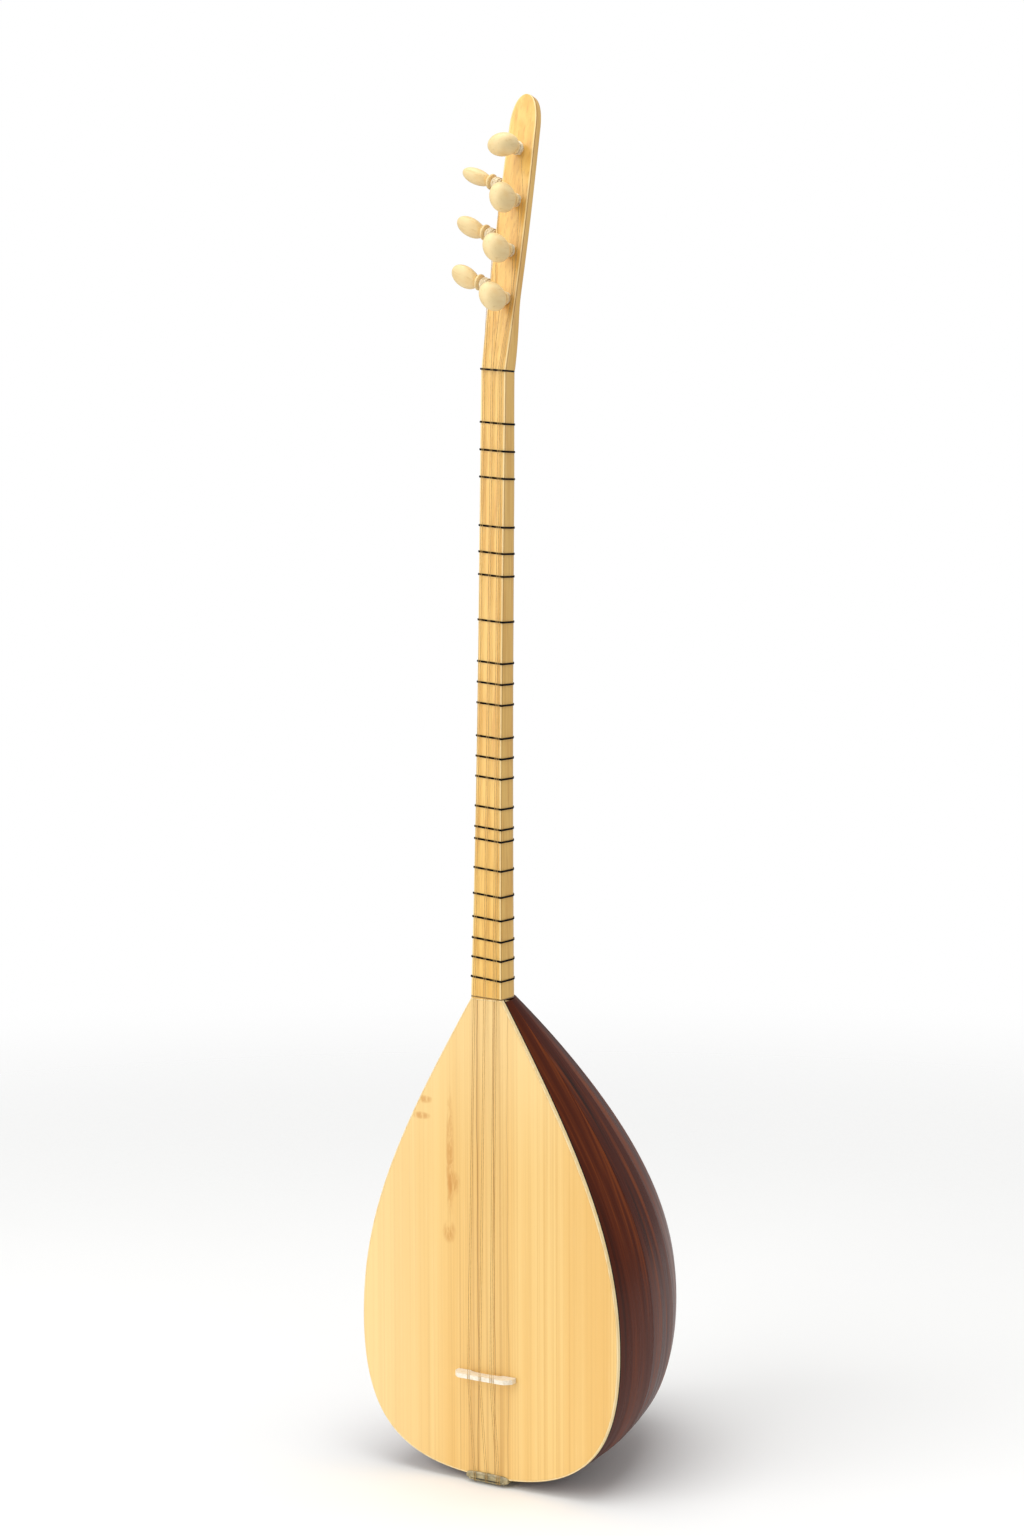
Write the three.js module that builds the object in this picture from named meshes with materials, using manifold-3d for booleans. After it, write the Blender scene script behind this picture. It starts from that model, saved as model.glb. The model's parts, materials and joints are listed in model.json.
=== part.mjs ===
// Long-neck saz: a stave-built bowl, a flat soundboard, a long neck with tied frets,
// a peghead bent back with four front pegs and three side pegs, and seven strings.
// Millimetres. +Z runs up the neck, the soundboard faces -Y, the side pegs are at -X.
// Pieces are laid out from the point where the neck meets the soundboard, and the whole
// instrument is then moved so that its origin is the hanging point on the peghead's back.

import * as THREE from 'three';
import { mergeVertices } from 'three/addons/utils/BufferGeometryUtils.js';
import Module from 'manifold-3d';

const wasm = await Module();
wasm.setup();

// ---- driving dimensions -------------------------------------------------------------

const SCALE_LENGTH = 865; // nut to the place the fret ratios are counted from
const BRIDGE_SETBACK = 18; // the bridge stands this much further down, for intonation
const JOINT_FRACTION = 0.632; // share of the scale length that lies over the neck
const NECK_LENGTH = SCALE_LENGTH * JOINT_FRACTION;
const BRIDGE_Z = NECK_LENGTH - SCALE_LENGTH - BRIDGE_SETBACK;
const GAP = 0.3; // glue line or running clearance between neighbouring pieces

const BODY_LENGTH = 429;
const BODY_WIDEST_Z = -300;
const BODY_HALF_WIDTH = 131.5;
const HEEL_HALF_WIDTH = 15.5;
const BOARD_THICKNESS = 4.5;
const PURFLING_THICKNESS = 0.9;
const PURFLING_WIDTH = 3;
const RIM_Y = BOARD_THICKNESS + PURFLING_THICKNESS + 2 * GAP;
const RIB_COUNT = 9;
const RIB_THICKNESS = 3;
const RIB_FLATNESS = 0.45; // 0 is a perfectly round bowl, 1 is flat staves
const RIB_STEPS_ALONG = 24;
const RIB_STEPS_ACROSS = 3;
const RIB_START_S = 0.004;
const TAIL_END_S = 1.965; // where the ribs stop, just short of the tail's point
const NECK_BLOCK_LENGTH = 58;
const TAIL_BLOCK = { width: 60, depth: 64, length: 24 };

const NECK_TILT = THREE.MathUtils.degToRad(1.7);
const NECK_HALF_WIDTH = 12.4;
const NECK_FLARE_Z = 330; // below this height the neck widens towards the body
const NUT_DEPTH = 23;
const NECK_DEPTH = 26;
const HEEL_DEPTH = 33;
const NECK_ROUNDING = 0.45; // share of the depth that is rounded
const BACK_ROUNDING = 0.96; // share of the half width that is rounded
const STRAIGHT_TAPER_Z = 420; // above this height the neck thins faster, towards the nut

const NUT_THICKNESS = 1.6;
const NUT_HEIGHT = 1.8;
const FRET_WIDTH = 1.5;
const FRET_HEIGHT = 0.9;
const FRET_CLEARANCE = 0.4; // lets each loop be pushed along the neck
const FRET_RATIOS = [
  19 / 18, 25 / 23, 28 / 25, 45 / 38, 11 / 9, 44 / 35, 4 / 3, 24 / 17, 16 / 11, 3 / 2, 30 / 19,
  31 / 19, 27 / 16, 16 / 9, 24 / 13, 17 / 9, 2, 19 / 9, 20 / 9, 7 / 3, 22 / 9, 18 / 7,
];
const FRET_SLANT = THREE.MathUtils.degToRad(5.6); // nut and frets sit higher on the side-peg side
const SLANT_RUN = 60; // the neck's end takes up the nut's slant over this length

const HEAD_TILT = THREE.MathUtils.degToRad(13.3);
const HEAD_LENGTH = 248;
const HEAD_TIP_LENGTH = 32;
const HEAD_TIP_FULLNESS = 2.3; // 2 is an ellipse, more is squarer
const HEAD_THICKNESS = 10;
const HEAD_WAIST = 70; // length over which the neck's depth thins to the head's
const HEAD_CORNER = 4;
const HEAD_SHOULDER_HALF_WIDTH = 13.9;
const HEAD_SWELL = 1.5; // extra half width halfway up the peghead
const HEAD_ROOT = 6; // the peghead starts this far below the neck's end and is cut at the nut

const PEG_SHAFT_RADIUS = 3.4;
const PEG_TIP_RADIUS = 2.9;
const PEG_CLEARANCE = 0.35;
const PEG_TIP_GAP = 0.5; // from a peg's tip to the bottom of its bore or the head's back
const PEG_SIDES = 16;
const FRONT_PEG_HEIGHTS = [198, 151, 106, 63];
const FRONT_PEG_X = [0.5, 4, 4, 5];
const FRONT_KNOB_STARTS = [14.5, 11, 11.5, 9.5]; // each peg is pushed in to its own depth
const FRONT_PEG_DIP = THREE.MathUtils.degToRad(12); // they stand square to the neck, not the head
const SIDE_PEG_HEIGHTS = [167, 121, 76];
const SIDE_PEG_RISE = THREE.MathUtils.degToRad(20);
const SIDE_PEG_STOP = 2.5; // their tips end this far from the head's centre line
const COLLAR_LENGTH = 4;
const COLLAR_RADIUS = 6;
const GROOVE_RADIUS = 4.8; // the thin place between the collar and the knob
const WINDING_SHARE = 0.55; // windings sit just past the middle of the bare shaft
const FRONT_KNOB = { length: 28, radius: 13.2, flatness: 0.75 };
const SIDE_KNOB = { start: 17, length: 28, radius: 11.5, flatness: 0.6 };
const FRONT_PEG_TURNS = [-78, 8, 22, 25]; // degrees; tuning has left each at its own angle
const SIDE_PEG_TURNS = [0, 24, 38];

const STRING_RADIUS = 0.25;
const STRING_SIDES = 6;
const COURSE_AT_NUT = 8;
const COURSE_AT_BRIDGE = 12;
const STRING_SPACING = 1.7;
const STRING_CLEARANCE = 0.65; // over the bridge's notches, so that the bridge can be moved
const STRING_STAND_OFF = 0.35; // from a string's middle to the nut or the tailpiece's lip

const BRIDGE_WIDTH = 59;
const BRIDGE_TOP = 12.5; // string height over the soundboard at the bridge
const BRIDGE_THICKNESS = 4.6;
const BRIDGE_NOTCH = { depth: 0.8, top: 0.75, bottom: 0.4 }; // depth and half widths
const BRIDGE_FOOT = 13;
const BRIDGE_ARCH = { height: 3.4, run: 5 };
const BRIDGE_SHOULDER = { width: 6, height: 6.5, drop: 0.8 };

const TAILPIECE_WIDTH = 43;
const TAILPIECE_LIP = 4;
const TAILPIECE_DEPTH = 26;
const TAILPIECE_THICKNESS = 4.6;
const TAILPIECE_CHAMFER = 1.2;
const LIP_HEIGHT = 2.4;

const BRACE_HEIGHTS = [-105, -225];
const BRACE_DEPTH = 12;
const BRACE_THICKNESS = 7;
const BRACE_END_GAP = 4;

const HANGER_HEIGHT = 85; // along the peghead, between two front pegs

// ---- materials ----------------------------------------------------------------------

function wood(color, roughness) {
  return new THREE.MeshStandardMaterial({ color, roughness, metalness: 0 });
}

const SPRUCE = wood('#fad891', 0.45);
const HORNBEAM = wood('#f5cd7d', 0.45);
const ROSEWOOD = wood('#4b2319', 0.25);
const LINDEN = wood('#dfc79a', 0.7);
const BOXWOOD = wood('#f0dcaa', 0.5);
const BLACK_VENEER = wood('#1a120e', 0.5);
const BONE = wood('#f2ecdc', 0.35);
const HORN = wood('#b9ad8a', 0.4);
const NYLON = new THREE.MeshStandardMaterial({ color: '#15110f', roughness: 0.35, metalness: 0 });
const STEEL = new THREE.MeshStandardMaterial({ color: '#b8b4aa', roughness: 0.3, metalness: 1 });

// ---- solid helpers ------------------------------------------------------------------

const instrument = new THREE.Group();

function place(name, geometry, material, parent = instrument) {
  const mesh = new THREE.Mesh(geometry, material);
  mesh.name = name;
  parent.add(mesh);
  return mesh;
}

function geometryOf(positions, triangles) {
  const geometry = new THREE.BufferGeometry();
  geometry.setAttribute('position', new THREE.Float32BufferAttribute(positions, 3));
  geometry.setIndex(triangles);
  return geometry;
}

function solidOf(geometry) {
  const bare = geometry.clone();
  bare.deleteAttribute('normal');
  bare.deleteAttribute('uv');
  const merged = mergeVertices(bare, 1e-4);
  return new wasm.Manifold(new wasm.Mesh({
    numProp: 3,
    vertProperties: new Float32Array(merged.attributes.position.array),
    triVerts: new Uint32Array(merged.index.array),
  }));
}

function geometryFromSolid(solid) {
  const mesh = solid.getMesh();
  return geometryOf(Array.from(mesh.vertProperties), Array.from(mesh.triVerts));
}

function boxBetween(low, high) {
  const size = high.clone().sub(low);
  const box = new THREE.BoxGeometry(size.x, size.y, size.z);
  const middle = low.clone().add(high).multiplyScalar(0.5);
  return box.translate(middle.x, middle.y, middle.z);
}

// Joins equal rings of points into one closed body. Each ring runs anticlockwise
// as seen from the last ring, and both ends are closed by a fan.
function loft(rings) {
  const count = rings[0].length;
  const positions = rings.flat().flatMap((point) => [point.x, point.y, point.z]);
  const triangles = [];
  for (let ring = 0; ring < rings.length - 1; ring += 1) {
    for (let i = 0; i < count; i += 1) {
      const a = ring * count + i;
      const b = ring * count + ((i + 1) % count);
      triangles.push(a, b, b + count, a, b + count, a + count);
    }
  }
  const last = (rings.length - 1) * count;
  for (let i = 1; i < count - 1; i += 1) {
    triangles.push(0, i + 1, i);
    triangles.push(last, last + i, last + i + 1);
  }
  return geometryOf(positions, triangles);
}

// ---- body outline and bowl ----------------------------------------------------------

const upperSide = new THREE.CubicBezierCurve(
  new THREE.Vector2(HEEL_HALF_WIDTH, 0),
  new THREE.Vector2(93, -128),
  new THREE.Vector2(BODY_HALF_WIDTH, -205),
  new THREE.Vector2(BODY_HALF_WIDTH, BODY_WIDEST_Z),
);
const lowerSide = new THREE.CubicBezierCurve(
  new THREE.Vector2(BODY_HALF_WIDTH, BODY_WIDEST_Z),
  new THREE.Vector2(BODY_HALF_WIDTH, -388),
  new THREE.Vector2(99, -BODY_LENGTH),
  new THREE.Vector2(0, -BODY_LENGTH),
);

// s is 0 at the neck joint, 1 at the widest place and 2 at the tail.
function sideAt(s) {
  return s <= 1 ? upperSide.getPoint(s) : lowerSide.getPoint(s - 1);
}

// How deep the bowl is for each millimetre of half width.
function depthRatio(s) {
  return 1.92 + 0.33 * Math.max(1 - s, 0) ** 3;
}

function roundBowlPoint(s, angle) {
  const side = sideAt(s);
  const depth = side.x * depthRatio(s);
  return new THREE.Vector3(side.x * Math.cos(angle), RIM_Y + depth * Math.sin(angle), side.y);
}

function bowlNormal(s, angle) {
  const step = 1e-3;
  const along = roundBowlPoint(s + step, angle).sub(roundBowlPoint(s - step, angle));
  const side = sideAt(s);
  const depth = side.x * depthRatio(s);
  const across = new THREE.Vector3(-side.x * Math.sin(angle), depth * Math.cos(angle), 0);
  return along.cross(across).normalize();
}

// Seam angles that give staves of equal width round the widest section.
function seamAngles() {
  const steps = 720;
  const lengths = [0];
  for (let i = 1; i <= steps; i += 1) {
    const before = roundBowlPoint(1, (Math.PI * (i - 1)) / steps);
    const after = roundBowlPoint(1, (Math.PI * i) / steps);
    lengths.push(lengths[i - 1] + after.distanceTo(before));
  }
  const angles = [];
  for (let seam = 0; seam <= RIB_COUNT; seam += 1) {
    const wanted = (lengths[steps] * seam) / RIB_COUNT;
    const index = lengths.findIndex((length) => length >= wanted - 1e-9);
    angles.push((Math.PI * index) / steps);
  }
  return angles;
}

// Both faces of one stave at one place: [outer, inner].
function stavePair(s, from, to, share, inset) {
  const angle = THREE.MathUtils.lerp(from, to, share);
  const arc = roundBowlPoint(s, angle);
  const start = roundBowlPoint(s, from);
  const end = roundBowlPoint(s, to);
  const outer = arc.lerp(start.clone().lerp(end, share), RIB_FLATNESS);
  const direction = end.clone().sub(start).normalize();
  outer.addScaledVector(direction, inset);
  const inner = outer.clone().addScaledVector(bowlNormal(s, angle), -RIB_THICKNESS);
  return [outer, inner];
}

function staveGeometry(from, to) {
  const rings = [];
  for (let i = 0; i <= RIB_STEPS_ALONG; i += 1) {
    const s = THREE.MathUtils.lerp(TAIL_END_S, RIB_START_S, i / RIB_STEPS_ALONG);
    const outer = [];
    const inner = [];
    for (let j = 0; j <= RIB_STEPS_ACROSS; j += 1) {
      const share = j / RIB_STEPS_ACROSS;
      const inset = j === 0 ? GAP / 2 : j === RIB_STEPS_ACROSS ? -GAP / 2 : 0;
      const [outside, inside] = stavePair(s, from, to, share, inset);
      outer.push(outside);
      inner.unshift(inside);
    }
    rings.push([...outer, ...inner]);
  }
  return loft(rings);
}

function addRibs() {
  const seams = seamAngles();
  for (let i = 0; i < RIB_COUNT; i += 1) {
    const name = `rib_${String(i + 1).padStart(2, '0')}`;
    place(name, staveGeometry(seams[i], seams[i + 1]), ROSEWOOD);
  }
}

// A solid that fills the bowl inside its staves, used to shape the two blocks.
function bowlFilling() {
  const rings = [];
  const clearance = RIB_THICKNESS + 4 * GAP;
  const tailS = 1.94;
  const neckS = 0.01;
  const across = 16;
  for (let i = 0; i <= RIB_STEPS_ALONG; i += 1) {
    const s = THREE.MathUtils.lerp(tailS, neckS, i / RIB_STEPS_ALONG);
    const ring = [];
    for (let j = 0; j <= across; j += 1) {
      const angle = (Math.PI * j) / across;
      const inward = bowlNormal(s, angle).multiplyScalar(-clearance);
      ring.push(roundBowlPoint(s, angle).add(inward));
    }
    rings.push(ring);
  }
  return solidOf(loft(rings));
}

function addBlocks() {
  const filling = bowlFilling();
  const front = RIM_Y + GAP;
  const wide = BODY_HALF_WIDTH;
  const neckEnd = boxBetween(
    new THREE.Vector3(-wide, front, -NECK_BLOCK_LENGTH),
    new THREE.Vector3(wide, 2 * BODY_HALF_WIDTH, -3 * GAP),
  );
  const { width, depth, length } = TAIL_BLOCK;
  const tailEnd = boxBetween(
    new THREE.Vector3(-width / 2, front, -BODY_LENGTH),
    new THREE.Vector3(width / 2, front + depth, -BODY_LENGTH + length),
  );
  place('neck_block', geometryFromSolid(filling.intersect(solidOf(neckEnd))), LINDEN);
  place('tail_block', geometryFromSolid(filling.intersect(solidOf(tailEnd))), LINDEN);
}

// ---- soundboard, purfling and braces --------------------------------------------------

// The soundboard's outline, clockwise from the top right corner, moved inwards by inset.
function outlinePoints(inset, steps = 34) {
  const right = [];
  for (let i = 0; i <= steps; i += 1) {
    const s = (2 * i) / steps;
    const here = sideAt(s);
    const ahead = sideAt(Math.min(s + 1e-3, 2));
    const behind = sideAt(Math.max(s - 1e-3, 0));
    const tangent = ahead.sub(behind).normalize();
    const x = here.x + tangent.y * inset;
    right.push(new THREE.Vector2(x, here.y - tangent.x * inset));
  }
  right[0].y = -inset;
  right[right.length - 1].set(0, -BODY_LENGTH + inset);
  const left = right.slice(0, -1).reverse().map((point) => new THREE.Vector2(-point.x, point.y));
  return [...right, ...left];
}

// A flat plate parallel to the soundboard, from y = front to y = front + thickness.
function boardPlate(shape, front, thickness) {
  const plate = new THREE.ExtrudeGeometry(shape, { depth: thickness, bevelEnabled: false });
  plate.rotateX(Math.PI / 2);
  return plate.translate(0, front + thickness, 0);
}

function addSoundboard() {
  const board = new THREE.Shape(outlinePoints(0));
  place('soundboard', boardPlate(board, 0, BOARD_THICKNESS), SPRUCE);
}

function addPurfling() {
  const ring = new THREE.Shape(outlinePoints(0));
  ring.holes.push(new THREE.Path(outlinePoints(PURFLING_WIDTH).reverse()));
  place('purfling', boardPlate(ring, BOARD_THICKNESS + GAP, PURFLING_THICKNESS), BLACK_VENEER);
}

// The body's half width at a height in its upper part, found by halving.
function halfWidthAt(z) {
  const halvings = 30;
  let low = 0;
  let high = 1;
  for (let i = 0; i < halvings; i += 1) {
    const middle = (low + high) / 2;
    if (sideAt(middle).y > z) low = middle;
    else high = middle;
  }
  return sideAt(low).x;
}

function addBraces() {
  BRACE_HEIGHTS.forEach((z, index) => {
    const half = halfWidthAt(z + BRACE_THICKNESS / 2) - RIB_THICKNESS - BRACE_END_GAP;
    const front = RIM_Y + GAP;
    const low = new THREE.Vector3(-half, front, z - BRACE_THICKNESS / 2);
    const high = new THREE.Vector3(half, front + BRACE_DEPTH, z + BRACE_THICKNESS / 2);
    place(`brace_${index + 1}`, boxBetween(low, high), LINDEN);
  });
}

// ---- neck, nut and frets --------------------------------------------------------------

function neckFrontY(z) {
  return z * Math.tan(NECK_TILT);
}

function neckHalfWidth(z) {
  const share = Math.max(0, 1 - z / NECK_FLARE_Z);
  return NECK_HALF_WIDTH + (HEEL_HALF_WIDTH - NECK_HALF_WIDTH) * share ** 2;
}

function neckDepth(z) {
  const share = Math.min(z / STRAIGHT_TAPER_Z, 1);
  const long = THREE.MathUtils.lerp(HEEL_DEPTH, NECK_DEPTH, share);
  const short = THREE.MathUtils.smoothstep(z, STRAIGHT_TAPER_Z, NECK_LENGTH);
  return THREE.MathUtils.lerp(long, NUT_DEPTH, short);
}

// A section with a flat front and straight sides whose back corners are rounded by
// cornerX and cornerY. Points run clockwise as seen from above.
function section(halfWidth, depth, cornerX, cornerY, grow = 0) {
  const steps = 4; // round each back corner
  const half = halfWidth + grow;
  const back = depth + grow;
  const points = [new THREE.Vector2(half, -grow)];
  for (let i = 0; i <= steps; i += 1) {
    const angle = (Math.PI / 2) * (i / steps);
    const x = half - cornerX - grow + (cornerX + grow) * Math.cos(angle);
    const y = back - cornerY - grow + (cornerY + grow) * Math.sin(angle);
    points.push(new THREE.Vector2(x, y));
  }
  const mirrored = points.map((point) => new THREE.Vector2(-point.x, point.y)).reverse();
  return [...points, ...mirrored];
}

function neckSection(z, grow = 0) {
  const half = neckHalfWidth(z);
  const depth = neckDepth(z);
  return section(half, depth, half * BACK_ROUNDING, depth * NECK_ROUNDING, grow);
}

// Stands a section up on the neck at height z, with its +x side lower when slanted.
function lift(points, z, slant = FRET_SLANT) {
  return points.map((point) => {
    const height = z - point.x * Math.tan(slant);
    return new THREE.Vector3(point.x, point.y + neckFrontY(height), height);
  });
}

function addNeck() {
  const rings = [];
  const steps = 24;
  const top = NECK_LENGTH - GAP - NUT_THICKNESS / 2;
  for (let i = 0; i <= steps; i += 1) {
    const z = THREE.MathUtils.lerp(GAP, top, i / steps);
    const share = THREE.MathUtils.smoothstep(z, top - SLANT_RUN, top);
    rings.push(lift(neckSection(z), z, FRET_SLANT * share));
  }
  place('neck', loft(rings), HORNBEAM);
}

function addNut() {
  const bottom = NECK_LENGTH - NUT_THICKNESS / 2;
  const points = neckSection(NECK_LENGTH);
  points[0].y -= NUT_HEIGHT;
  points[points.length - 1].y -= NUT_HEIGHT;
  const rings = [lift(points, bottom), lift(points, bottom + NUT_THICKNESS)];
  place('nut', loft(rings), BLACK_VENEER);
}

// A closed loop of line round the neck: an outer and an inner wall, joined into a ring.
function fretLoop(z) {
  const inner = neckSection(z, FRET_CLEARANCE);
  const outer = neckSection(z, FRET_CLEARANCE + FRET_HEIGHT);
  const count = inner.length;
  const walls = [
    lift(outer, z - FRET_WIDTH / 2),
    lift(outer, z + FRET_WIDTH / 2),
    lift(inner, z + FRET_WIDTH / 2),
    lift(inner, z - FRET_WIDTH / 2),
  ];
  const positions = walls.flat().flatMap((point) => [point.x, point.y, point.z]);
  const triangles = [];
  for (let wall = 0; wall < 4; wall += 1) {
    const next = ((wall + 1) % 4) * count;
    for (let i = 0; i < count; i += 1) {
      const a = wall * count + i;
      const b = wall * count + ((i + 1) % count);
      const c = next + ((i + 1) % count);
      triangles.push(a, b, c, a, c, next + i);
    }
  }
  return geometryOf(positions, triangles);
}

function addFrets() {
  FRET_RATIOS.forEach((ratio, index) => {
    const z = NECK_LENGTH - SCALE_LENGTH * (1 - 1 / ratio);
    place(`fret_${String(index + 1).padStart(2, '0')}`, fretLoop(z), NYLON);
  });
}

// ---- peghead --------------------------------------------------------------------------

// The peghead and its pegs are laid out upright, from the nut, and tilted back as one.
const head = new THREE.Group();
head.position.set(0, neckFrontY(NECK_LENGTH), NECK_LENGTH);
head.rotation.x = -HEAD_TILT;
instrument.add(head);

function headHalfWidth(height) {
  const shoulder = HEAD_LENGTH - HEAD_TIP_LENGTH;
  const swell = Math.sin(Math.PI * Math.min(height / shoulder, 1));
  const share = Math.min(height / shoulder, 1);
  const straight = THREE.MathUtils.lerp(NECK_HALF_WIDTH, HEAD_SHOULDER_HALF_WIDTH, share);
  const width = straight + HEAD_SWELL * swell;
  if (height <= shoulder) return width;
  const past = (height - shoulder) / HEAD_TIP_LENGTH;
  return width * (1 - past ** HEAD_TIP_FULLNESS) ** (1 / HEAD_TIP_FULLNESS);
}

function headDepth(height) {
  const share = THREE.MathUtils.smoothstep(height, 0, HEAD_WAIST);
  return THREE.MathUtils.lerp(neckDepth(NECK_LENGTH), HEAD_THICKNESS, share);
}

function headSection(height) {
  const half = headHalfWidth(height);
  const depth = headDepth(height);
  const share = THREE.MathUtils.smoothstep(height, 0, HEAD_WAIST);
  const corner = Math.min(THREE.MathUtils.lerp(half, HEAD_CORNER, share), half);
  const cornerX = corner * BACK_ROUNDING;
  const cornerY = THREE.MathUtils.lerp(depth * NECK_ROUNDING, HEAD_CORNER, share);
  return section(half, depth, cornerX, cornerY);
}

// The peghead before its bores are cut: a thinning waist, a long plain part and a round tip.
function plainHead() {
  const heights = [];
  const waistSteps = 8;
  const plainSteps = 4;
  const tipSteps = 10;
  const tipStart = HEAD_LENGTH - HEAD_TIP_LENGTH;
  for (let i = 0; i < waistSteps; i += 1) {
    heights.push(THREE.MathUtils.lerp(-HEAD_ROOT, HEAD_WAIST, i / waistSteps));
  }
  for (let i = 0; i < plainSteps; i += 1) {
    heights.push(THREE.MathUtils.lerp(HEAD_WAIST, tipStart, i / plainSteps));
  }
  for (let i = 0; i < tipSteps; i += 1) {
    heights.push(tipStart + HEAD_TIP_LENGTH * Math.sin((Math.PI / 2) * (i / tipSteps)));
  }
  heights.push(HEAD_LENGTH - GAP / 10);
  const rings = heights.map((height) => (
    headSection(height).map((point) => new THREE.Vector3(point.x, point.y, height))
  ));
  return loft(rings);
}

function frontPegFrame(index) {
  const frame = new THREE.Group();
  frame.position.set(FRONT_PEG_X[index], 0, FRONT_PEG_HEIGHTS[index]);
  frame.rotation.x = Math.PI / 2 + FRONT_PEG_DIP;
  frame.rotation.z = THREE.MathUtils.degToRad(FRONT_PEG_TURNS[index]);
  return frame;
}

function sidePegFrame(index) {
  const height = SIDE_PEG_HEIGHTS[index];
  const frame = new THREE.Group();
  frame.position.set(-headHalfWidth(height), HEAD_THICKNESS / 2, height);
  frame.rotation.y = -(Math.PI / 2 - SIDE_PEG_RISE);
  frame.rotation.z = THREE.MathUtils.degToRad(SIDE_PEG_TURNS[index]);
  return frame;
}

function boreAlong(frame, inward) {
  const radius = PEG_SHAFT_RADIUS + PEG_CLEARANCE;
  const outward = 30;
  const reach = inward + outward;
  const bore = new THREE.CylinderGeometry(radius, radius, reach, PEG_SIDES);
  bore.rotateX(Math.PI / 2);
  bore.translate(0, 0, reach / 2 - inward);
  frame.updateMatrix();
  return solidOf(bore.applyMatrix4(frame.matrix));
}

function sidePegInward(index) {
  const across = headHalfWidth(SIDE_PEG_HEIGHTS[index]) - SIDE_PEG_STOP;
  return across / Math.cos(SIDE_PEG_RISE);
}

// Everything below the nut's upper face, as seen by the tilted head.
function belowHead() {
  const top = NECK_LENGTH + NUT_THICKNESS / 2 + GAP;
  const reach = 3 * NECK_DEPTH;
  const low = new THREE.Vector3(-reach, -reach, -reach);
  const high = new THREE.Vector3(reach, reach, 0);
  const box = boxBetween(low, high).rotateY(FRET_SLANT).translate(0, 0, top);
  head.updateMatrix();
  return solidOf(box.applyMatrix4(head.matrix.clone().invert()));
}

function addPeghead() {
  let solid = solidOf(plainHead()).subtract(belowHead());
  FRONT_PEG_HEIGHTS.forEach((height, index) => {
    solid = solid.subtract(boreAlong(frontPegFrame(index), 3 * HEAD_THICKNESS));
  });
  SIDE_PEG_HEIGHTS.forEach((height, index) => {
    const inward = sidePegInward(index) + PEG_TIP_GAP;
    solid = solid.subtract(boreAlong(sidePegFrame(index), inward));
  });
  place('peghead', geometryFromSolid(solid), HORNBEAM, head);
}

// ---- pegs -----------------------------------------------------------------------------

// A peg lies along its own +Z, with z = 0 at the surface of the head. Its profile is the
// radius and height of the tip, the shaft, the collar, the groove and the knob.
function pegGeometry(inward, knob) {
  const collar = knob.start - COLLAR_LENGTH;
  const profile = [
    [0, -inward],
    [PEG_TIP_RADIUS, -inward],
    [PEG_SHAFT_RADIUS, 0],
    [PEG_SHAFT_RADIUS, collar],
    [COLLAR_RADIUS * 0.9, collar + COLLAR_LENGTH * 0.2],
    [COLLAR_RADIUS, collar + COLLAR_LENGTH * 0.55],
    [GROOVE_RADIUS, collar + COLLAR_LENGTH * 0.88],
  ];
  const steps = 8;
  const fullness = 0.9; // under 1 is fuller towards both ends than an ellipse
  for (let i = 1; i < steps; i += 1) {
    const angle = Math.PI * (i / steps);
    const along = knob.start + (knob.length * (1 - Math.cos(angle))) / 2;
    profile.push([knob.radius * Math.sin(angle) ** fullness, along]);
  }
  profile.push([0, knob.start + knob.length]);
  const points = profile.map(([radius, along]) => new THREE.Vector2(radius, along));
  const lathe = new THREE.LatheGeometry(points, PEG_SIDES);
  lathe.rotateX(Math.PI / 2);
  const position = lathe.attributes.position;
  const run = knob.radius / 2;
  for (let i = 0; i < position.count; i += 1) {
    const height = position.getZ(i);
    const share = THREE.MathUtils.smoothstep(height, knob.start - run, knob.start + run);
    const squeeze = THREE.MathUtils.lerp(1, knob.flatness, share);
    position.setX(i, position.getX(i) * squeeze);
  }
  return geometryFromSolid(solidOf(lathe));
}

function addPegs() {
  FRONT_PEG_HEIGHTS.forEach((height, index) => {
    const frame = frontPegFrame(index);
    head.add(frame);
    const knob = { ...FRONT_KNOB, start: FRONT_KNOB_STARTS[index] };
    const geometry = pegGeometry(HEAD_THICKNESS - PEG_TIP_GAP, knob);
    place(`peg_front_${index + 1}`, geometry, BOXWOOD, frame);
  });
  SIDE_PEG_HEIGHTS.forEach((height, index) => {
    const frame = sidePegFrame(index);
    head.add(frame);
    const geometry = pegGeometry(sidePegInward(index), SIDE_KNOB);
    place(`peg_side_${index + 1}`, geometry, BOXWOOD, frame);
  });
}

// ---- bridge and tailpiece ---------------------------------------------------------------

function courseX(course, share) {
  return (course - 1) * THREE.MathUtils.lerp(COURSE_AT_BRIDGE, COURSE_AT_NUT, share);
}

// Seven strings in three courses: two, two and three.
const COURSES = [2, 2, 3];

function stringX(course, place, share) {
  const centred = place - (COURSES[course] - 1) / 2;
  return courseX(course, share) + centred * STRING_SPACING;
}

function eachString(action) {
  let number = 0;
  COURSES.forEach((count, course) => {
    for (let place = 0; place < count; place += 1) {
      number += 1;
      action(number, course, place);
    }
  });
}

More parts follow.
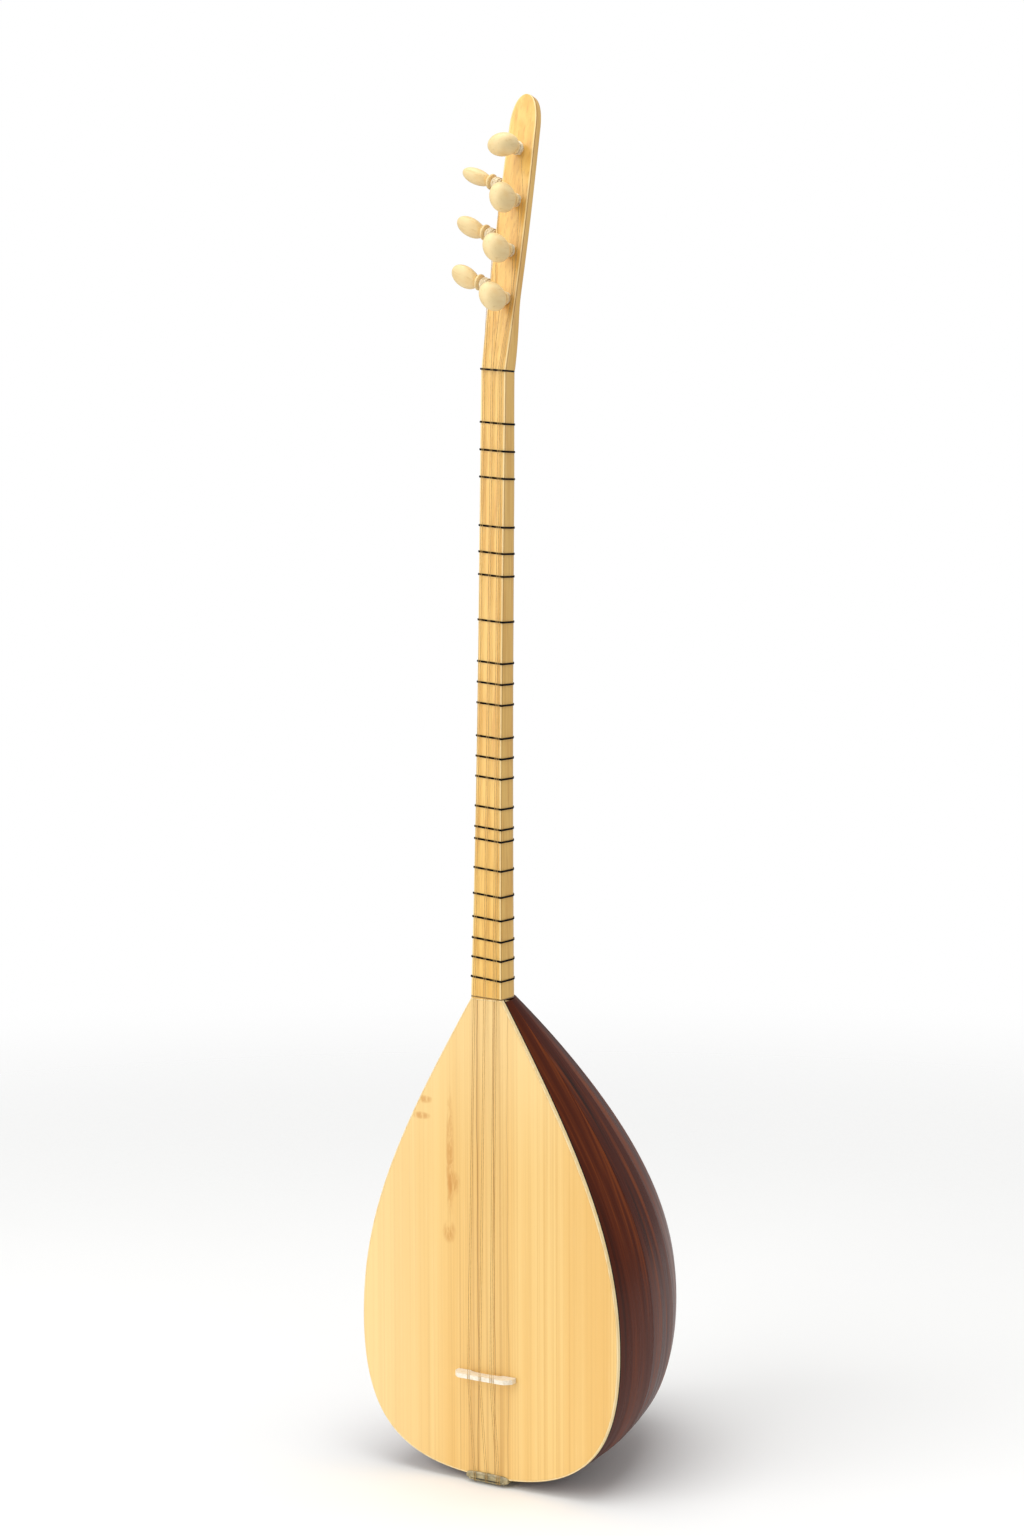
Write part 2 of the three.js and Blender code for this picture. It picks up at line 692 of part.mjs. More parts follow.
// The bridge seen from the neck: two feet, a low arch between them and a notch for
// each string. Heights over the soundboard run towards -Y.
function bridgeShape() {
  const half = BRIDGE_WIDTH / 2;
  const { depth, top: open, bottom: closed } = BRIDGE_NOTCH;
  const top = BRIDGE_TOP - STRING_CLEARANCE - STRING_RADIUS + depth;
  const { width, height: shoulder, drop } = BRIDGE_SHOULDER;
  const inner = half - BRIDGE_FOOT;
  const arch = BRIDGE_ARCH;
  const points = [[-half, 0], [-half, shoulder], [-half + width, top - drop], [-inner, top]];
  eachString((number, course, position) => {
    const x = stringX(course, position, 0);
    points.push([x - open, top], [x - closed, top - depth]);
    points.push([x + closed, top - depth], [x + open, top]);
  });
  points.push([inner, top], [half - width, top - drop], [half, shoulder], [half, 0]);
  points.push([inner, 0], [inner - arch.run / 3, arch.height * 0.65]);
  points.push([inner - arch.run, arch.height], [-inner + arch.run, arch.height]);
  points.push([-inner + arch.run / 3, arch.height * 0.65], [-inner, 0]);
  return new THREE.Shape(points.map(([x, height]) => new THREE.Vector2(x, -height)));
}

function addBridge() {
  const options = { depth: BRIDGE_THICKNESS, bevelEnabled: false };
  const bridge = new THREE.ExtrudeGeometry(bridgeShape(), options);
  bridge.translate(0, -GAP, BRIDGE_Z - BRIDGE_THICKNESS / 2);
  place('bridge', bridge, BONE);
}

// An L-shaped holder: a lip over the soundboard's lower edge and a plate on the tail.
function addTailpiece() {
  const edge = -BODY_LENGTH - 2 * GAP;
  const bottom = edge - TAILPIECE_THICKNESS;
  const lip = -BODY_LENGTH + TAILPIECE_LIP;
  const chamfer = TAILPIECE_CHAMFER;
  const shape = new THREE.Shape();
  shape.moveTo(-LIP_HEIGHT + chamfer, lip);
  shape.lineTo(-GAP, lip);
  shape.lineTo(-GAP, edge);
  shape.lineTo(TAILPIECE_DEPTH, edge);
  shape.lineTo(TAILPIECE_DEPTH, bottom + chamfer);
  shape.lineTo(TAILPIECE_DEPTH - chamfer, bottom);
  shape.lineTo(-LIP_HEIGHT + chamfer, bottom);
  shape.lineTo(-LIP_HEIGHT, bottom + chamfer);
  shape.lineTo(-LIP_HEIGHT, lip - chamfer);
  const options = { depth: TAILPIECE_WIDTH, bevelEnabled: false };
  const holder = new THREE.ExtrudeGeometry(shape, options);
  holder.applyMatrix4(new THREE.Matrix4().set(
    0, 0, 1, -TAILPIECE_WIDTH / 2,
    1, 0, 0, 0,
    0, 1, 0, 0,
    0, 0, 0, 1,
  ));
  place('tailpiece', holder, HORN);
}

// ---- strings ----------------------------------------------------------------------------

// A thin tube through the given points.
function tubeThrough(points, radius, sides) {
  const rings = points.map((point, index) => {
    const before = points[Math.max(index - 1, 0)];
    const after = points[Math.min(index + 1, points.length - 1)];
    const along = after.clone().sub(before).normalize();
    const right = new THREE.Vector3(1, 0, 0);
    right.addScaledVector(along, -right.dot(along)).normalize();
    const up = along.clone().cross(right).normalize();
    const ring = [];
    for (let i = 0; i < sides; i += 1) {
      const angle = (2 * Math.PI * i) / sides;
      ring.push(point.clone()
        .addScaledVector(right, radius * Math.cos(angle))
        .addScaledVector(up, radius * Math.sin(angle)));
    }
    return ring;
  });
  return loft(rings);
}

function headPoint(x, y, height) {
  head.updateMatrix();
  return new THREE.Vector3(x, y, height).applyMatrix4(head.matrix);
}

const FACE_CLEARANCE = 3.6; // strings run this far in front of the peghead's face
const WAY_CLEARANCE = 0.7; // from a string to the peg or the edge that it passes

// How far from the wood the middle of a peg's windings is.
function windingDistance(knobStart) {
  return WINDING_SHARE * (knobStart - COLLAR_LENGTH);
}

// Where each string ends, at its own peg.
function stringEnds() {
  const reach = PEG_SHAFT_RADIUS + STRING_RADIUS + PEG_CLEARANCE;
  const front = (index, sign) => {
    const out = windingDistance(FRONT_KNOB_STARTS[index]);
    const drop = out * Math.sin(FRONT_PEG_DIP);
    const x = FRONT_PEG_X[index] + sign * reach;
    return headPoint(x, -out, FRONT_PEG_HEIGHTS[index] - drop);
  };
  const side = (index) => {
    const height = SIDE_PEG_HEIGHTS[index];
    const out = windingDistance(SIDE_KNOB.start);
    const x = -headHalfWidth(height) - out * Math.cos(SIDE_PEG_RISE);
    const rise = out * Math.sin(SIDE_PEG_RISE);
    return headPoint(x, HEAD_THICKNESS / 2 - reach, height + rise);
  };
  return [side(2), side(1), side(0), front(3, -1), front(2, 1), front(1, 1), front(0, 1)];
}

// Points on the way over the peghead: the first three strings pass its left edge just
// below their side peg, and the last three pass to the right of each lower front peg.
function wayPoints(number) {
  if (number <= SIDE_PEG_HEIGHTS.length) {
    const height = SIDE_PEG_HEIGHTS[SIDE_PEG_HEIGHTS.length - number] - COLLAR_RADIUS;
    return [headPoint(-headHalfWidth(height) - WAY_CLEARANCE, -WAY_CLEARANCE, height)];
  }
  const firstOnRight = 5;
  const points = [];
  const lowest = FRONT_PEG_HEIGHTS.length - 1;
  const ownPeg = lowest - 1 - (number - firstOnRight);
  for (let peg = lowest; number >= firstOnRight && peg > ownPeg; peg -= 1) {
    const order = number - firstOnRight + 1;
    const beside = FRONT_PEG_X[peg] + COLLAR_RADIUS + WAY_CLEARANCE * order;
    points.push(headPoint(beside, -FACE_CLEARANCE, FRONT_PEG_HEIGHTS[peg]));
  }
  return points;
}

function addStrings() {
  const ends = stringEnds();
  const over = LIP_HEIGHT + STRING_STAND_OFF; // how far in front of the soundboard
  const under = BODY_LENGTH + TAILPIECE_THICKNESS + 2 * GAP;
  const anchorDepth = 3;
  eachString((number, course, position) => {
    const bridgeX = stringX(course, position, 0);
    const nutX = stringX(course, position, 1);
    const nutZ = NECK_LENGTH - nutX * Math.tan(FRET_SLANT);
    const nutY = neckFrontY(nutZ) - NUT_HEIGHT - STRING_STAND_OFF - GAP / 2;
    const points = [
      new THREE.Vector3(bridgeX, anchorDepth, -under - 3 * GAP),
      new THREE.Vector3(bridgeX, -over, -under - GAP),
      new THREE.Vector3(bridgeX, -over - GAP, -BODY_LENGTH + TAILPIECE_LIP / 2),
      new THREE.Vector3(bridgeX, -BRIDGE_TOP - GAP, BRIDGE_Z),
      new THREE.Vector3(nutX, nutY, nutZ),
      ...wayPoints(number),
      ends[number - 1],
    ];
    place(`string_${number}`, tubeThrough(points, STRING_RADIUS, STRING_SIDES), STEEL);
  });
}

// ---- assembly ---------------------------------------------------------------------------

addRibs();
addBlocks();
addSoundboard();
addPurfling();
addBraces();
addNeck();
addNut();
addFrets();
addPeghead();
addPegs();
addBridge();
addTailpiece();
addStrings();

const hangingPoint = headPoint(0, HEAD_THICKNESS, HANGER_HEIGHT);
instrument.position.copy(hangingPoint).negate();

const saz = new THREE.Group();
saz.add(instrument);

export default saz;
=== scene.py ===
"""Looks of the long-neck saz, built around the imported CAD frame.

Shapes are worked out in millimetres from the point where the neck meets the soundboard,
with +Z up the neck and the soundboard facing -Y, and are then put into the frame.
"""

import json
import math

import bmesh
import bpy
from mathutils import Matrix, Vector


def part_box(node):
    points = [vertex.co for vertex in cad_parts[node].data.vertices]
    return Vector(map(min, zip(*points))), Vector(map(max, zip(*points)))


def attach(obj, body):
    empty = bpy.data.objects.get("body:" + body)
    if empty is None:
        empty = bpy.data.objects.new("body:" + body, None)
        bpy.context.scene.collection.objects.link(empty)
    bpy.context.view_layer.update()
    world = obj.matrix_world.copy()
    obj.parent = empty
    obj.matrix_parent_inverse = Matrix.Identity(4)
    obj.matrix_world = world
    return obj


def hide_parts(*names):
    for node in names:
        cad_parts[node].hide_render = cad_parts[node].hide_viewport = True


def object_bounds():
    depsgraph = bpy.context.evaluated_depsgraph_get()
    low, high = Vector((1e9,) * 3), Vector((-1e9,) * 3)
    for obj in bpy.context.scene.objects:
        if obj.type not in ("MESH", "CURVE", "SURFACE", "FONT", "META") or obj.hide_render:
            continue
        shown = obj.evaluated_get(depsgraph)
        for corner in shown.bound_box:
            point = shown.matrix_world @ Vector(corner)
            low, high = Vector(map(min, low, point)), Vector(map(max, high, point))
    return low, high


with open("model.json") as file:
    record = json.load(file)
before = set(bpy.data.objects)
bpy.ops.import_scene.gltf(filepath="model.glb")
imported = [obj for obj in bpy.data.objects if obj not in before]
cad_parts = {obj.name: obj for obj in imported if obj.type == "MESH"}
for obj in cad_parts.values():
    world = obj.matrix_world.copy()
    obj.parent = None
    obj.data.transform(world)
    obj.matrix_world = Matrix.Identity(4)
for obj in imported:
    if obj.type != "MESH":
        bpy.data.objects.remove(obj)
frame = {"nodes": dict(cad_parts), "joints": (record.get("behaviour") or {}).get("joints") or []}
CAD_LOW, CAD_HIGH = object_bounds()

# ---- driving dimensions, in millimetres ---------------------------------------------

MM = 0.001
BOARD_LOW, BOARD_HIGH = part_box("soundboard")
ORIGIN = Vector((0, BOARD_LOW[1], BOARD_HIGH[2]))

BODY_LENGTH = (BOARD_HIGH[2] - BOARD_LOW[2]) / MM
BODY_HALF_WIDTH = BOARD_HIGH[0] / MM
BODY_WIDEST_Z = -300
HEEL_HALF_WIDTH = 15.5
BOWL_DEPTH_RATIO = 1.92  # depth of the bowl for each millimetre of half width
HEEL_DEPTH_EXTRA = 0.33  # added to that ratio at the neck joint
BOARD_THICKNESS = (BOARD_HIGH[1] - BOARD_LOW[1]) / MM
RIM_Y = BOARD_THICKNESS + 1.5
PALE_EDGE_WIDTH = 1.3
RIB_COUNT = 9
RIB_THICKNESS = 3
RIB_FLATNESS = 0.45  # 0 is a perfectly round bowl, 1 is flat staves
RIB_START_S = 0.004
TAIL_END_S = 1.985
SEAM_HALF_GAP = 0.09
PURFLING_WIDTH = 3

NECK_LENGTH = 546.68
NECK_TILT = math.radians(1.7)
NECK_HALF_WIDTH = 12.4
NECK_FLARE_Z = 330
NECK_SLIM_Z = 420  # above this the neck slims down to the nut
NUT_DEPTH = 23
NECK_DEPTH = 26
HEEL_DEPTH = 33
NECK_ROUNDING = 0.45  # share of the depth that the back's rounded corners take
NECK_CORNER_SHARE = 0.96  # share of the half width that they take
FRONT_CORNER = 0.7
NUT_THICKNESS = 1.6
NUT_HEIGHT = 1.8

FRET_COUNT = 22
FRET_LINE_RADIUS = 0.3
FRET_STAND_OFF = 0.16
FRET_SLANT = math.radians(5.6)  # the nut and frets stand higher on the left
SLANT_RUN = 60  # the length over which the neck's upper end takes up the slant
KNOT_DEPTH_SHARE = 0.34  # how far back on the neck's side the knots lie

HEAD_TILT = math.radians(13.3)
HEAD_LENGTH = 248
HEAD_TIP_LENGTH = 32
HEAD_TIP_FULLNESS = 2.3  # 2 is an ellipse, more is squarer
HEAD_SHOULDER_HALF_WIDTH = 13.9
HEAD_SWELL = 1.5
HEAD_THICKNESS = 10
HEAD_WAIST = 70
HEAD_CORNER = 3

PEG_SHAFT_RADIUS = 3.4
PEG_TIP_RADIUS = 2.9
PEG_CLEARANCE = 0.35
COLLAR_RADIUS = 6
COLLAR_LENGTH = 4
SIDE_COLLAR = 7
FRONT_KNOB_STARTS = (14.5, 11, 11.5, 9.5)
FRONT_KNOB = {"length": 28, "radius": 13.2, "flatness": 0.75}
FRONT_PEG_TURNS = (-78, 8, 22, 25)  # degrees; tuning leaves each at its own angle
SIDE_KNOB = {"start": 17, "length": 28, "radius": 11.5, "flatness": 0.6}
SIDE_PEG_TURNS = (0, 24, 38)
SIDE_PEG_STOP = 2.5
SIDE_PEG_RISE = math.radians(20)
WINDING_SHARE = 0.55  # how far up the free shaft the winding's middle is
WINDING_RADIUS = 0.5
WINDING_REACH = 5
WINDING_LAYERS = 3
WINDING_FOOT = 2.3  # bare shaft between the wood and the winding, at least

STRING_RADIUS = 0.22
COURSES = (2, 2, 3)
COURSE_AT_NUT = 8
COURSE_AT_BRIDGE = 12
STRING_SPACING = 1.7
STRING_BEND = 1.2
BRIDGE_TOP = 12.5
NOTCH_RADIUS = 0.42
NOTCH_DEPTH = 0.4
FACE_CLEARANCE = 3.6

TAILPIECE_WIDTH = 43
TAILPIECE_THICKNESS = 4.6
TAILPIECE_LIP = 4
TAILPIECE_GAP = 0.12
LIP_HEIGHT = 2.4


def at(x, y, z):
    """A point of the millimetre layout, in the frame, in metres."""
    return ORIGIN + Vector((x, y, z)) * MM


# ---- materials ----------------------------------------------------------------------


def colour(code):
    """Linear RGBA of a #rrggbb colour."""
    channels = [int(code[i : i + 2], 16) / 255 for i in (1, 3, 5)]
    linear = [c / 12.92 if c <= 0.04045 else ((c + 0.055) / 1.055) ** 2.4 for c in channels]
    return (*linear, 1)


class Finish:
    """A material and the few node calls that every finish here is made from."""

    def __init__(self, name, **shader):
        self.material = bpy.data.materials.new(name)
        self.material.use_nodes = True
        self.tree = self.material.node_tree
        self.shader = self.tree.nodes["Principled BSDF"]
        for key, value in shader.items():
            self.shader.inputs[key.replace("_", " ")].default_value = value

    def add(self, kind, inputs=None, **settings):
        node = self.tree.nodes.new(kind)
        for key, value in settings.items():
            setattr(node, key, value)
        for key, value in (inputs or {}).items():
            if isinstance(value, bpy.types.NodeSocket):
                self.tree.links.new(value, node.inputs[key])
            else:
                node.inputs[key].default_value = value
        return node

    def place(self, scale=(1, 1, 1), layer=None):
        """Coordinates in metres, times scale: the object's own, or a laid-out UV layer's."""
        if layer:
            source = self.add("ShaderNodeUVMap", uv_map=layer).outputs["UV"]
        else:
            source = self.add("ShaderNodeTexCoord").outputs["Object"]
        return self.add("ShaderNodeMapping", {"Vector": source, "Scale": scale}).outputs[0]

    def noise(self, vector, detail=3, roughness=0.55, distortion=0):
        values = {"Vector": vector, "Scale": 1, "Detail": detail, "Roughness": roughness}
        values["Distortion"] = distortion
        return self.add("ShaderNodeTexNoise", values).outputs["Fac"]

    def ramp(self, value, low, high, start=0, end=1):
        """value between low and high, stretched smoothly to start and end."""
        values = {"Value": value, "From Min": low, "From Max": high}
        values |= {"To Min": start, "To Max": end}
        node = self.add("ShaderNodeMapRange", values, interpolation_type="SMOOTHSTEP")
        return node.outputs["Result"]

    def maths(self, operation, first, second):
        node = self.add("ShaderNodeMath", {0: first, 1: second}, operation=operation)
        return node.outputs[0]

    def mix(self, share, first, second):
        """Colour first, going over to second as share goes from 0 to 1."""
        node = self.add("ShaderNodeMix", data_type="RGBA")
        for index, value in ((0, share), (6, first), (7, second)):
            if isinstance(value, bpy.types.NodeSocket):
                self.tree.links.new(value, node.inputs[index])
            else:
                node.inputs[index].default_value = value
        return node.outputs[2]

    def part(self, vector, axis):
        """One coordinate of a vector: 0 is X, 1 is Y and 2 is Z."""
        return self.add("ShaderNodeSeparateXYZ", {"Vector": vector}).outputs[axis]

    def finish(self, base, roughness=None, height=None, depth=0.0001):
        """Joins colour, roughness and bump to the shader."""
        self.tree.links.new(base, self.shader.inputs["Base Color"])
        if roughness is not None:
            self.tree.links.new(roughness, self.shader.inputs["Roughness"])
        if height is not None:
            bump = self.add("ShaderNodeBump", {"Height": height, "Distance": depth})
            self.tree.links.new(bump.outputs[0], self.shader.inputs["Normal"])
        return self.material


def near_line(wood, across, middle, half_width):
    """1 on a line at across = middle, falling to 0 at half_width from it."""
    offset = wood.maths("ABSOLUTE", wood.maths("SUBTRACT", across, middle), 0)
    return wood.ramp(offset, half_width, 0)


def stain(wood, across, along, middle, size):
    """A soft oval patch round middle, 1 at its centre."""
    dx = wood.maths("DIVIDE", wood.maths("SUBTRACT", across, middle[0]), size[0])
    dz = wood.maths("DIVIDE", wood.maths("SUBTRACT", along, middle[1]), size[1])
    square = wood.maths("ADD", wood.maths("MULTIPLY", dx, dx), wood.maths("MULTIPLY", dz, dz))
    return wood.ramp(square, 1, 0)


# Small brown marks in the soundboard's rings: middle (across, along) and size, in metres.
FLECKS = [
    ((-0.067, ORIGIN.z - 0.095), (0.014, 0.0045)),
    ((-0.068, ORIGIN.z - 0.110), (0.012, 0.004)),
    ((-0.038, ORIGIN.z - 0.145), (0.005, 0.070)),
    ((-0.034, ORIGIN.z - 0.168), (0.008, 0.013)),
    ((-0.039, ORIGIN.z - 0.212), (0.008, 0.012)),
]
# The strongest dark rings of the soundboard: place across it, in metres, and strength.
DARK_RINGS = [(-0.0125, 0.65), (0.0045, 0.5), (0.0185, 0.35)]
DARK_RING_HALF_WIDTH = 0.0007


def spruce():
    """Soundboard wood: fine straight rings, strong ones near the middle, brown flecks, and
    painted light towards the left and the top.
    """
    wood = Finish("spruce", Roughness=0.42, Coat_Weight=0.35, Coat_Roughness=0.22)
    wood.shader.inputs["Specular IOR Level"].default_value = 0.3
    rings = wood.noise(wood.place((420, 60, 1.1)), 2.5, 0.6, 0.1)
    wide = wood.noise(wood.place((55, 10, 0.9)), 2, 0.5)
    fibres = wood.noise(wood.place((2600, 400, 26)), 2)
    spot = wood.place()
    across, along = wood.part(spot, 0), wood.part(spot, 2)
    base = wood.mix(wood.ramp(wide, 0.35, 0.68), colour("#f1ca7f"), colour("#eabc6c"))
    base = wood.mix(wood.ramp(rings, 0.42, 0.7, 0, 0.55), base, colour("#dcab5c"))
    strong = wood.noise(wood.place((300, 40, 1.2)), 1.5, 0.5, 0.1)
    middle = wood.ramp(wood.maths("ABSOLUTE", wood.maths("ADD", across, 0.012), 0), 0.055, 0.012)
    lines = wood.maths("MULTIPLY", wood.ramp(strong, 0.56, 0.66), middle)
    base = wood.mix(wood.maths("MULTIPLY", lines, 0.35), base, colour("#b67d36"))
    bend = wood.maths("MULTIPLY", wood.noise(wood.place((0, 0, 9)), 2), 0.006)
    bent = wood.maths("SUBTRACT", across, bend)
    # Painted light: the board is paler towards its left side.
    base = wood.mix(wood.ramp(across, -0.02, -0.11, 0, 0.45), base, colour("#fbe0a4"))
    # Painted light: paler towards the top of the board, offsetting the shadows that the strings
    # cast there.
    base = wood.mix(wood.ramp(along, ORIGIN.z - 0.17, ORIGIN.z, 0, 0.4), base, colour("#ffe3a8"))
    for middle_x, share in DARK_RINGS:
        ring = near_line(wood, bent, middle_x, DARK_RING_HALF_WIDTH)
        base = wood.mix(wood.maths("MULTIPLY", ring, share), base, colour("#8c5a24"))
    ripple = wood.noise(wood.place((190, 20, 60)), 3, 0.6, 0.6)
    for centre, size in FLECKS:
        patch = stain(wood, across, along, centre, size)
        fleck = wood.maths("MULTIPLY", patch, wood.ramp(ripple, 0.34, 0.6))
        base = wood.mix(wood.maths("MULTIPLY", fleck, 0.62), base, colour("#c98838"))
    base = wood.mix(wood.ramp(fibres, 0.55, 0.85, 0, 0.12), base, colour("#fff0cc"))
    rough = wood.ramp(fibres, 0.2, 0.8, 0.36, 0.5)
    return wood.finish(base, rough, rings, 0.00004)


def hornbeam():
    """Neck and peghead wood: honey yellow with fine broken grain, painted shade on the sides and
    a painted highlight by the front corners.
    """
    wood = Finish("hornbeam", Roughness=0.4, Coat_Weight=0.4, Coat_Roughness=0.18)
    wood.shader.inputs["Specular IOR Level"].default_value = 0.35
    grain = wood.noise(wood.place((520, 420, 9)), 4, 0.62, 0.35)
    streaks = wood.noise(wood.place((190, 160, 14)), 3, 0.55, 0.5)
    pores = wood.noise(wood.place((2400, 2400, 70)), 2)
    base = wood.mix(wood.ramp(streaks, 0.35, 0.7), colour("#f6c96f"), colour("#ebb75c"))
    base = wood.mix(wood.ramp(grain, 0.5, 0.72, 0, 0.6), base, colour("#c98f42"))
    edge = wood.part(wood.place(layer="edge"), 0)
    # Painted highlight: a pale line on the front just inside each front corner; a darker brown
    # line follows just behind the corner on the side.
    pale = near_line(wood, edge, -0.0008, 0.0012)
    dark = near_line(wood, edge, 0.0007, 0.0012)
    # Painted shade: the side faces are mixed towards a darker tan, standing in for the shade they
    # lie in.
    side = wood.ramp(edge, 0.0002, 0.0012)
    base = wood.mix(wood.maths("MULTIPLY", side, 0.26), base, colour("#c6963f"))
    base = wood.mix(wood.maths("MULTIPLY", pale, 0.8), base, colour("#ffe9b0"))
    base = wood.mix(wood.maths("MULTIPLY", dark, 0.75), base, colour("#94601c"))
    spot = wood.place()
    sloping = wood.maths("MULTIPLY", wood.part(spot, 0), math.tan(FRET_SLANT) / 2)
    height = wood.maths("ADD", wood.part(spot, 2), sloping)
    seam = near_line(wood, height, ORIGIN.z + 0.0012, 0.0011)
    base = wood.mix(wood.maths("MULTIPLY", seam, 0.9), base, colour("#4a2a10"))
    rough = wood.ramp(pores, 0.3, 0.8, 0.32, 0.5)
    return wood.finish(base, rough, grain, 0.00005)


STAVE_TONE = 6.3  # how fast the tone changes across the staves, which lie far apart in it


def rosewood():
    """Stave wood: dark reddish brown with orange streaks, each stave in a tone of its own."""
    wood = Finish("rosewood", Roughness=0.36, Coat_Weight=0.05, Coat_Roughness=0.12)
    wood.shader.inputs["Specular IOR Level"].default_value = 0.04
    wood.shader.inputs["Specular Tint"].default_value = colour("#c07a52")
    wood.shader.inputs["Coat IOR"].default_value = 1.4
    flow = wood.noise(wood.place((64, 2.8, 1), "grain"), 3, 0.5, 0.5)
    fine = wood.noise(wood.place((150, 6, 1), "grain"), 3, 0.55, 0.4)
    veins = wood.noise(wood.place((80, 3.6, 1), "grain"), 3, 0.5, 0.8)
    tone = wood.noise(wood.place((STAVE_TONE, 0, 0), "grain"), 1)
    base = wood.mix(wood.ramp(tone, 0.4, 0.6), colour("#4a1705"), colour("#60260a"))
    base = wood.mix(wood.ramp(flow, 0.4, 0.66, 0, 0.4), base, colour("#340f06"))
    orange = wood.maths("MULTIPLY", wood.ramp(flow, 0.56, 0.4), wood.ramp(fine, 0.4, 0.66))
    base = wood.mix(wood.maths("MULTIPLY", orange, 0.6), base, colour("#8c4518"))
    base = wood.mix(wood.ramp(veins, 0.58, 0.7, 0, 0.7), base, colour("#180805"))
    rough = wood.ramp(fine, 0.3, 0.8, 0.26, 0.42)
    return wood.finish(base, rough, fine, 0.00002)


def boxwood():
    """Peg wood: pale cream, close grain along the peg."""
    wood = Finish("boxwood", Roughness=0.5, Coat_Weight=0.15, Coat_Roughness=0.3)
    wood.shader.inputs["Specular IOR Level"].default_value = 0.3
    grain = wood.noise(wood.place((330, 330, 34)), 4, 0.6, 0.4)
    cloud = wood.noise(wood.place((70, 70, 40)), 2)
    fine = wood.noise(wood.place((1900, 1900, 160)), 2)
    base = wood.mix(wood.ramp(cloud, 0.35, 0.7), colour("#f3d9a2"), colour("#ebc98c"))
    base = wood.mix(wood.ramp(grain, 0.54, 0.78, 0, 0.5), base, colour("#cfa969"))
    rough = wood.ramp(fine, 0.3, 0.8, 0.42, 0.6)
    return wood.finish(base, rough, fine, 0.00003)


def plain(name, light, dark, scale, low, high, depth=0.00002, **shader):
    """A close-textured finish: two shades mixed by noise, with its own roughness and bump."""
    made = Finish(name, **shader)
    cloud = made.noise(made.place(scale), 4, 0.6, 0.3)
    base = made.mix(made.ramp(cloud, 0.35, 0.7), colour(light), colour(dark))
    return made.finish(base, made.ramp(cloud, 0.3, 0.8, low, high), cloud, depth)


SPRUCE = spruce()
HORNBEAM = hornbeam()
ROSEWOOD = rosewood()
BOXWOOD = boxwood()
# Painted highlight: the pale strip round the soundboard's edge stands in for light on the board's
# lit edge.
EDGE_HIGHLIGHT = plain("painted_edge_highlight", "#f6dfaa", "#ecca86", (500, 500, 12), 0.35, 0.5)
LINDEN = plain("linden", "#dcc394", "#c9a972", (220, 220, 14), 0.6, 0.8, 0.00006)
VENEER = plain("black_veneer", "#140d09", "#0b0605", (600, 600, 20), 0.5, 0.7,
               Specular_IOR_Level=0.15)
BONE = plain("bone", "#f6efdf", "#e8dcc2", (260, 500, 500), 0.3, 0.5, Coat_Weight=0.2)
HORN = plain("horn", "#b5a67c", "#7f7350", (160, 300, 300), 0.3, 0.5, 0.00004, Coat_Weight=0.3)
NYLON = plain("fret_line", "#0a0706", "#030202", (900, 900, 900), 0.55, 0.7,
              Specular_IOR_Level=0.08)
STEEL = plain("string_steel", "#d2ae6c", "#b08a4a", (700, 700, 700), 0.35, 0.5, Metallic=0.45)
# Painted highlight: the windings are the same string as string_steel, drawn pale cream in place
# of the light on their coils.
WINDING_HIGHLIGHT = plain("winding_painted_highlight", "#f9edd2", "#dcc899", (700, 700, 700), 0.45, 0.65)
SHADOW = plain("slot_shadow", "#241b12", "#120c08", (400, 400, 400), 0.6, 0.8)

# ---- mesh helpers -------------------------------------------------------------------


def mesh_of(name, points, faces, finish, layers=None):
    """A mesh whose faces all look outwards. layers holds a UV coordinate for each point."""
    mesh = bpy.data.meshes.new(name)
    mesh.from_pydata([tuple(p) for p in points], [], faces)
    for layer, coordinates in (layers or {}).items():
        data = mesh.uv_layers.new(name=layer).data
        for loop in mesh.loops:
            data[loop.index].uv = coordinates[loop.vertex_index]
    made = bmesh.new()
    made.from_mesh(mesh)
    bmesh.ops.recalc_face_normals(made, faces=made.faces)
    made.to_mesh(mesh)
    made.free()
    mesh.materials.append(finish)
    return mesh


def piece(name, points, faces, finish, body="root", replaces=(), slot=None, sharp=35,
          place=None, layers=None):
    """Makes one visible piece. points are in metres, in place's space or the frame's."""
    mesh = mesh_of(name, points, faces, finish, layers)
    mesh.shade_smooth()
    mesh.set_sharp_from_angle(angle=math.radians(sharp))
    thing = bpy.data.objects.new(name, mesh)
    bpy.context.scene.collection.objects.link(thing)
    if place is not None:
        thing.matrix_world = place
    bpy.context.view_layer.update()
    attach(thing, body)
    if replaces:
        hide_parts(*replaces)
    return thing


def bevel(thing, width, segments=2, angle=40):
    """Softly rounds the sharp edges, by width millimetres."""
    modifier = thing.modifiers.new("edge_rounding", "BEVEL")
    modifier.width = width * MM
    modifier.segments = segments
    modifier.limit_method = "ANGLE"
    modifier.angle_limit = math.radians(angle)
    modifier.harden_normals = True


def ring_faces(count, rings, closed=False, first=0):
    """Quads between equal rings of points. closed also joins the last ring to the first."""
    faces = []
    for ring in range(rings if closed else rings - 1):
        here = first + ring * count
        there = first + ((ring + 1) % rings) * count
        for i in range(count):
            j = (i + 1) % count
            faces.append((here + i, here + j, there + j, there + i))
    return faces


def loft(rings):
    """Points and faces of one closed body through equal rings, capped at both ends."""
    count = len(rings[0])
    points = [point for ring in rings for point in ring]
    faces = ring_faces(count, len(rings))
    faces.append(tuple(reversed(range(count))))
    last = count * (len(rings) - 1)
    faces.append(tuple(range(last, last + count)))
    return points, faces


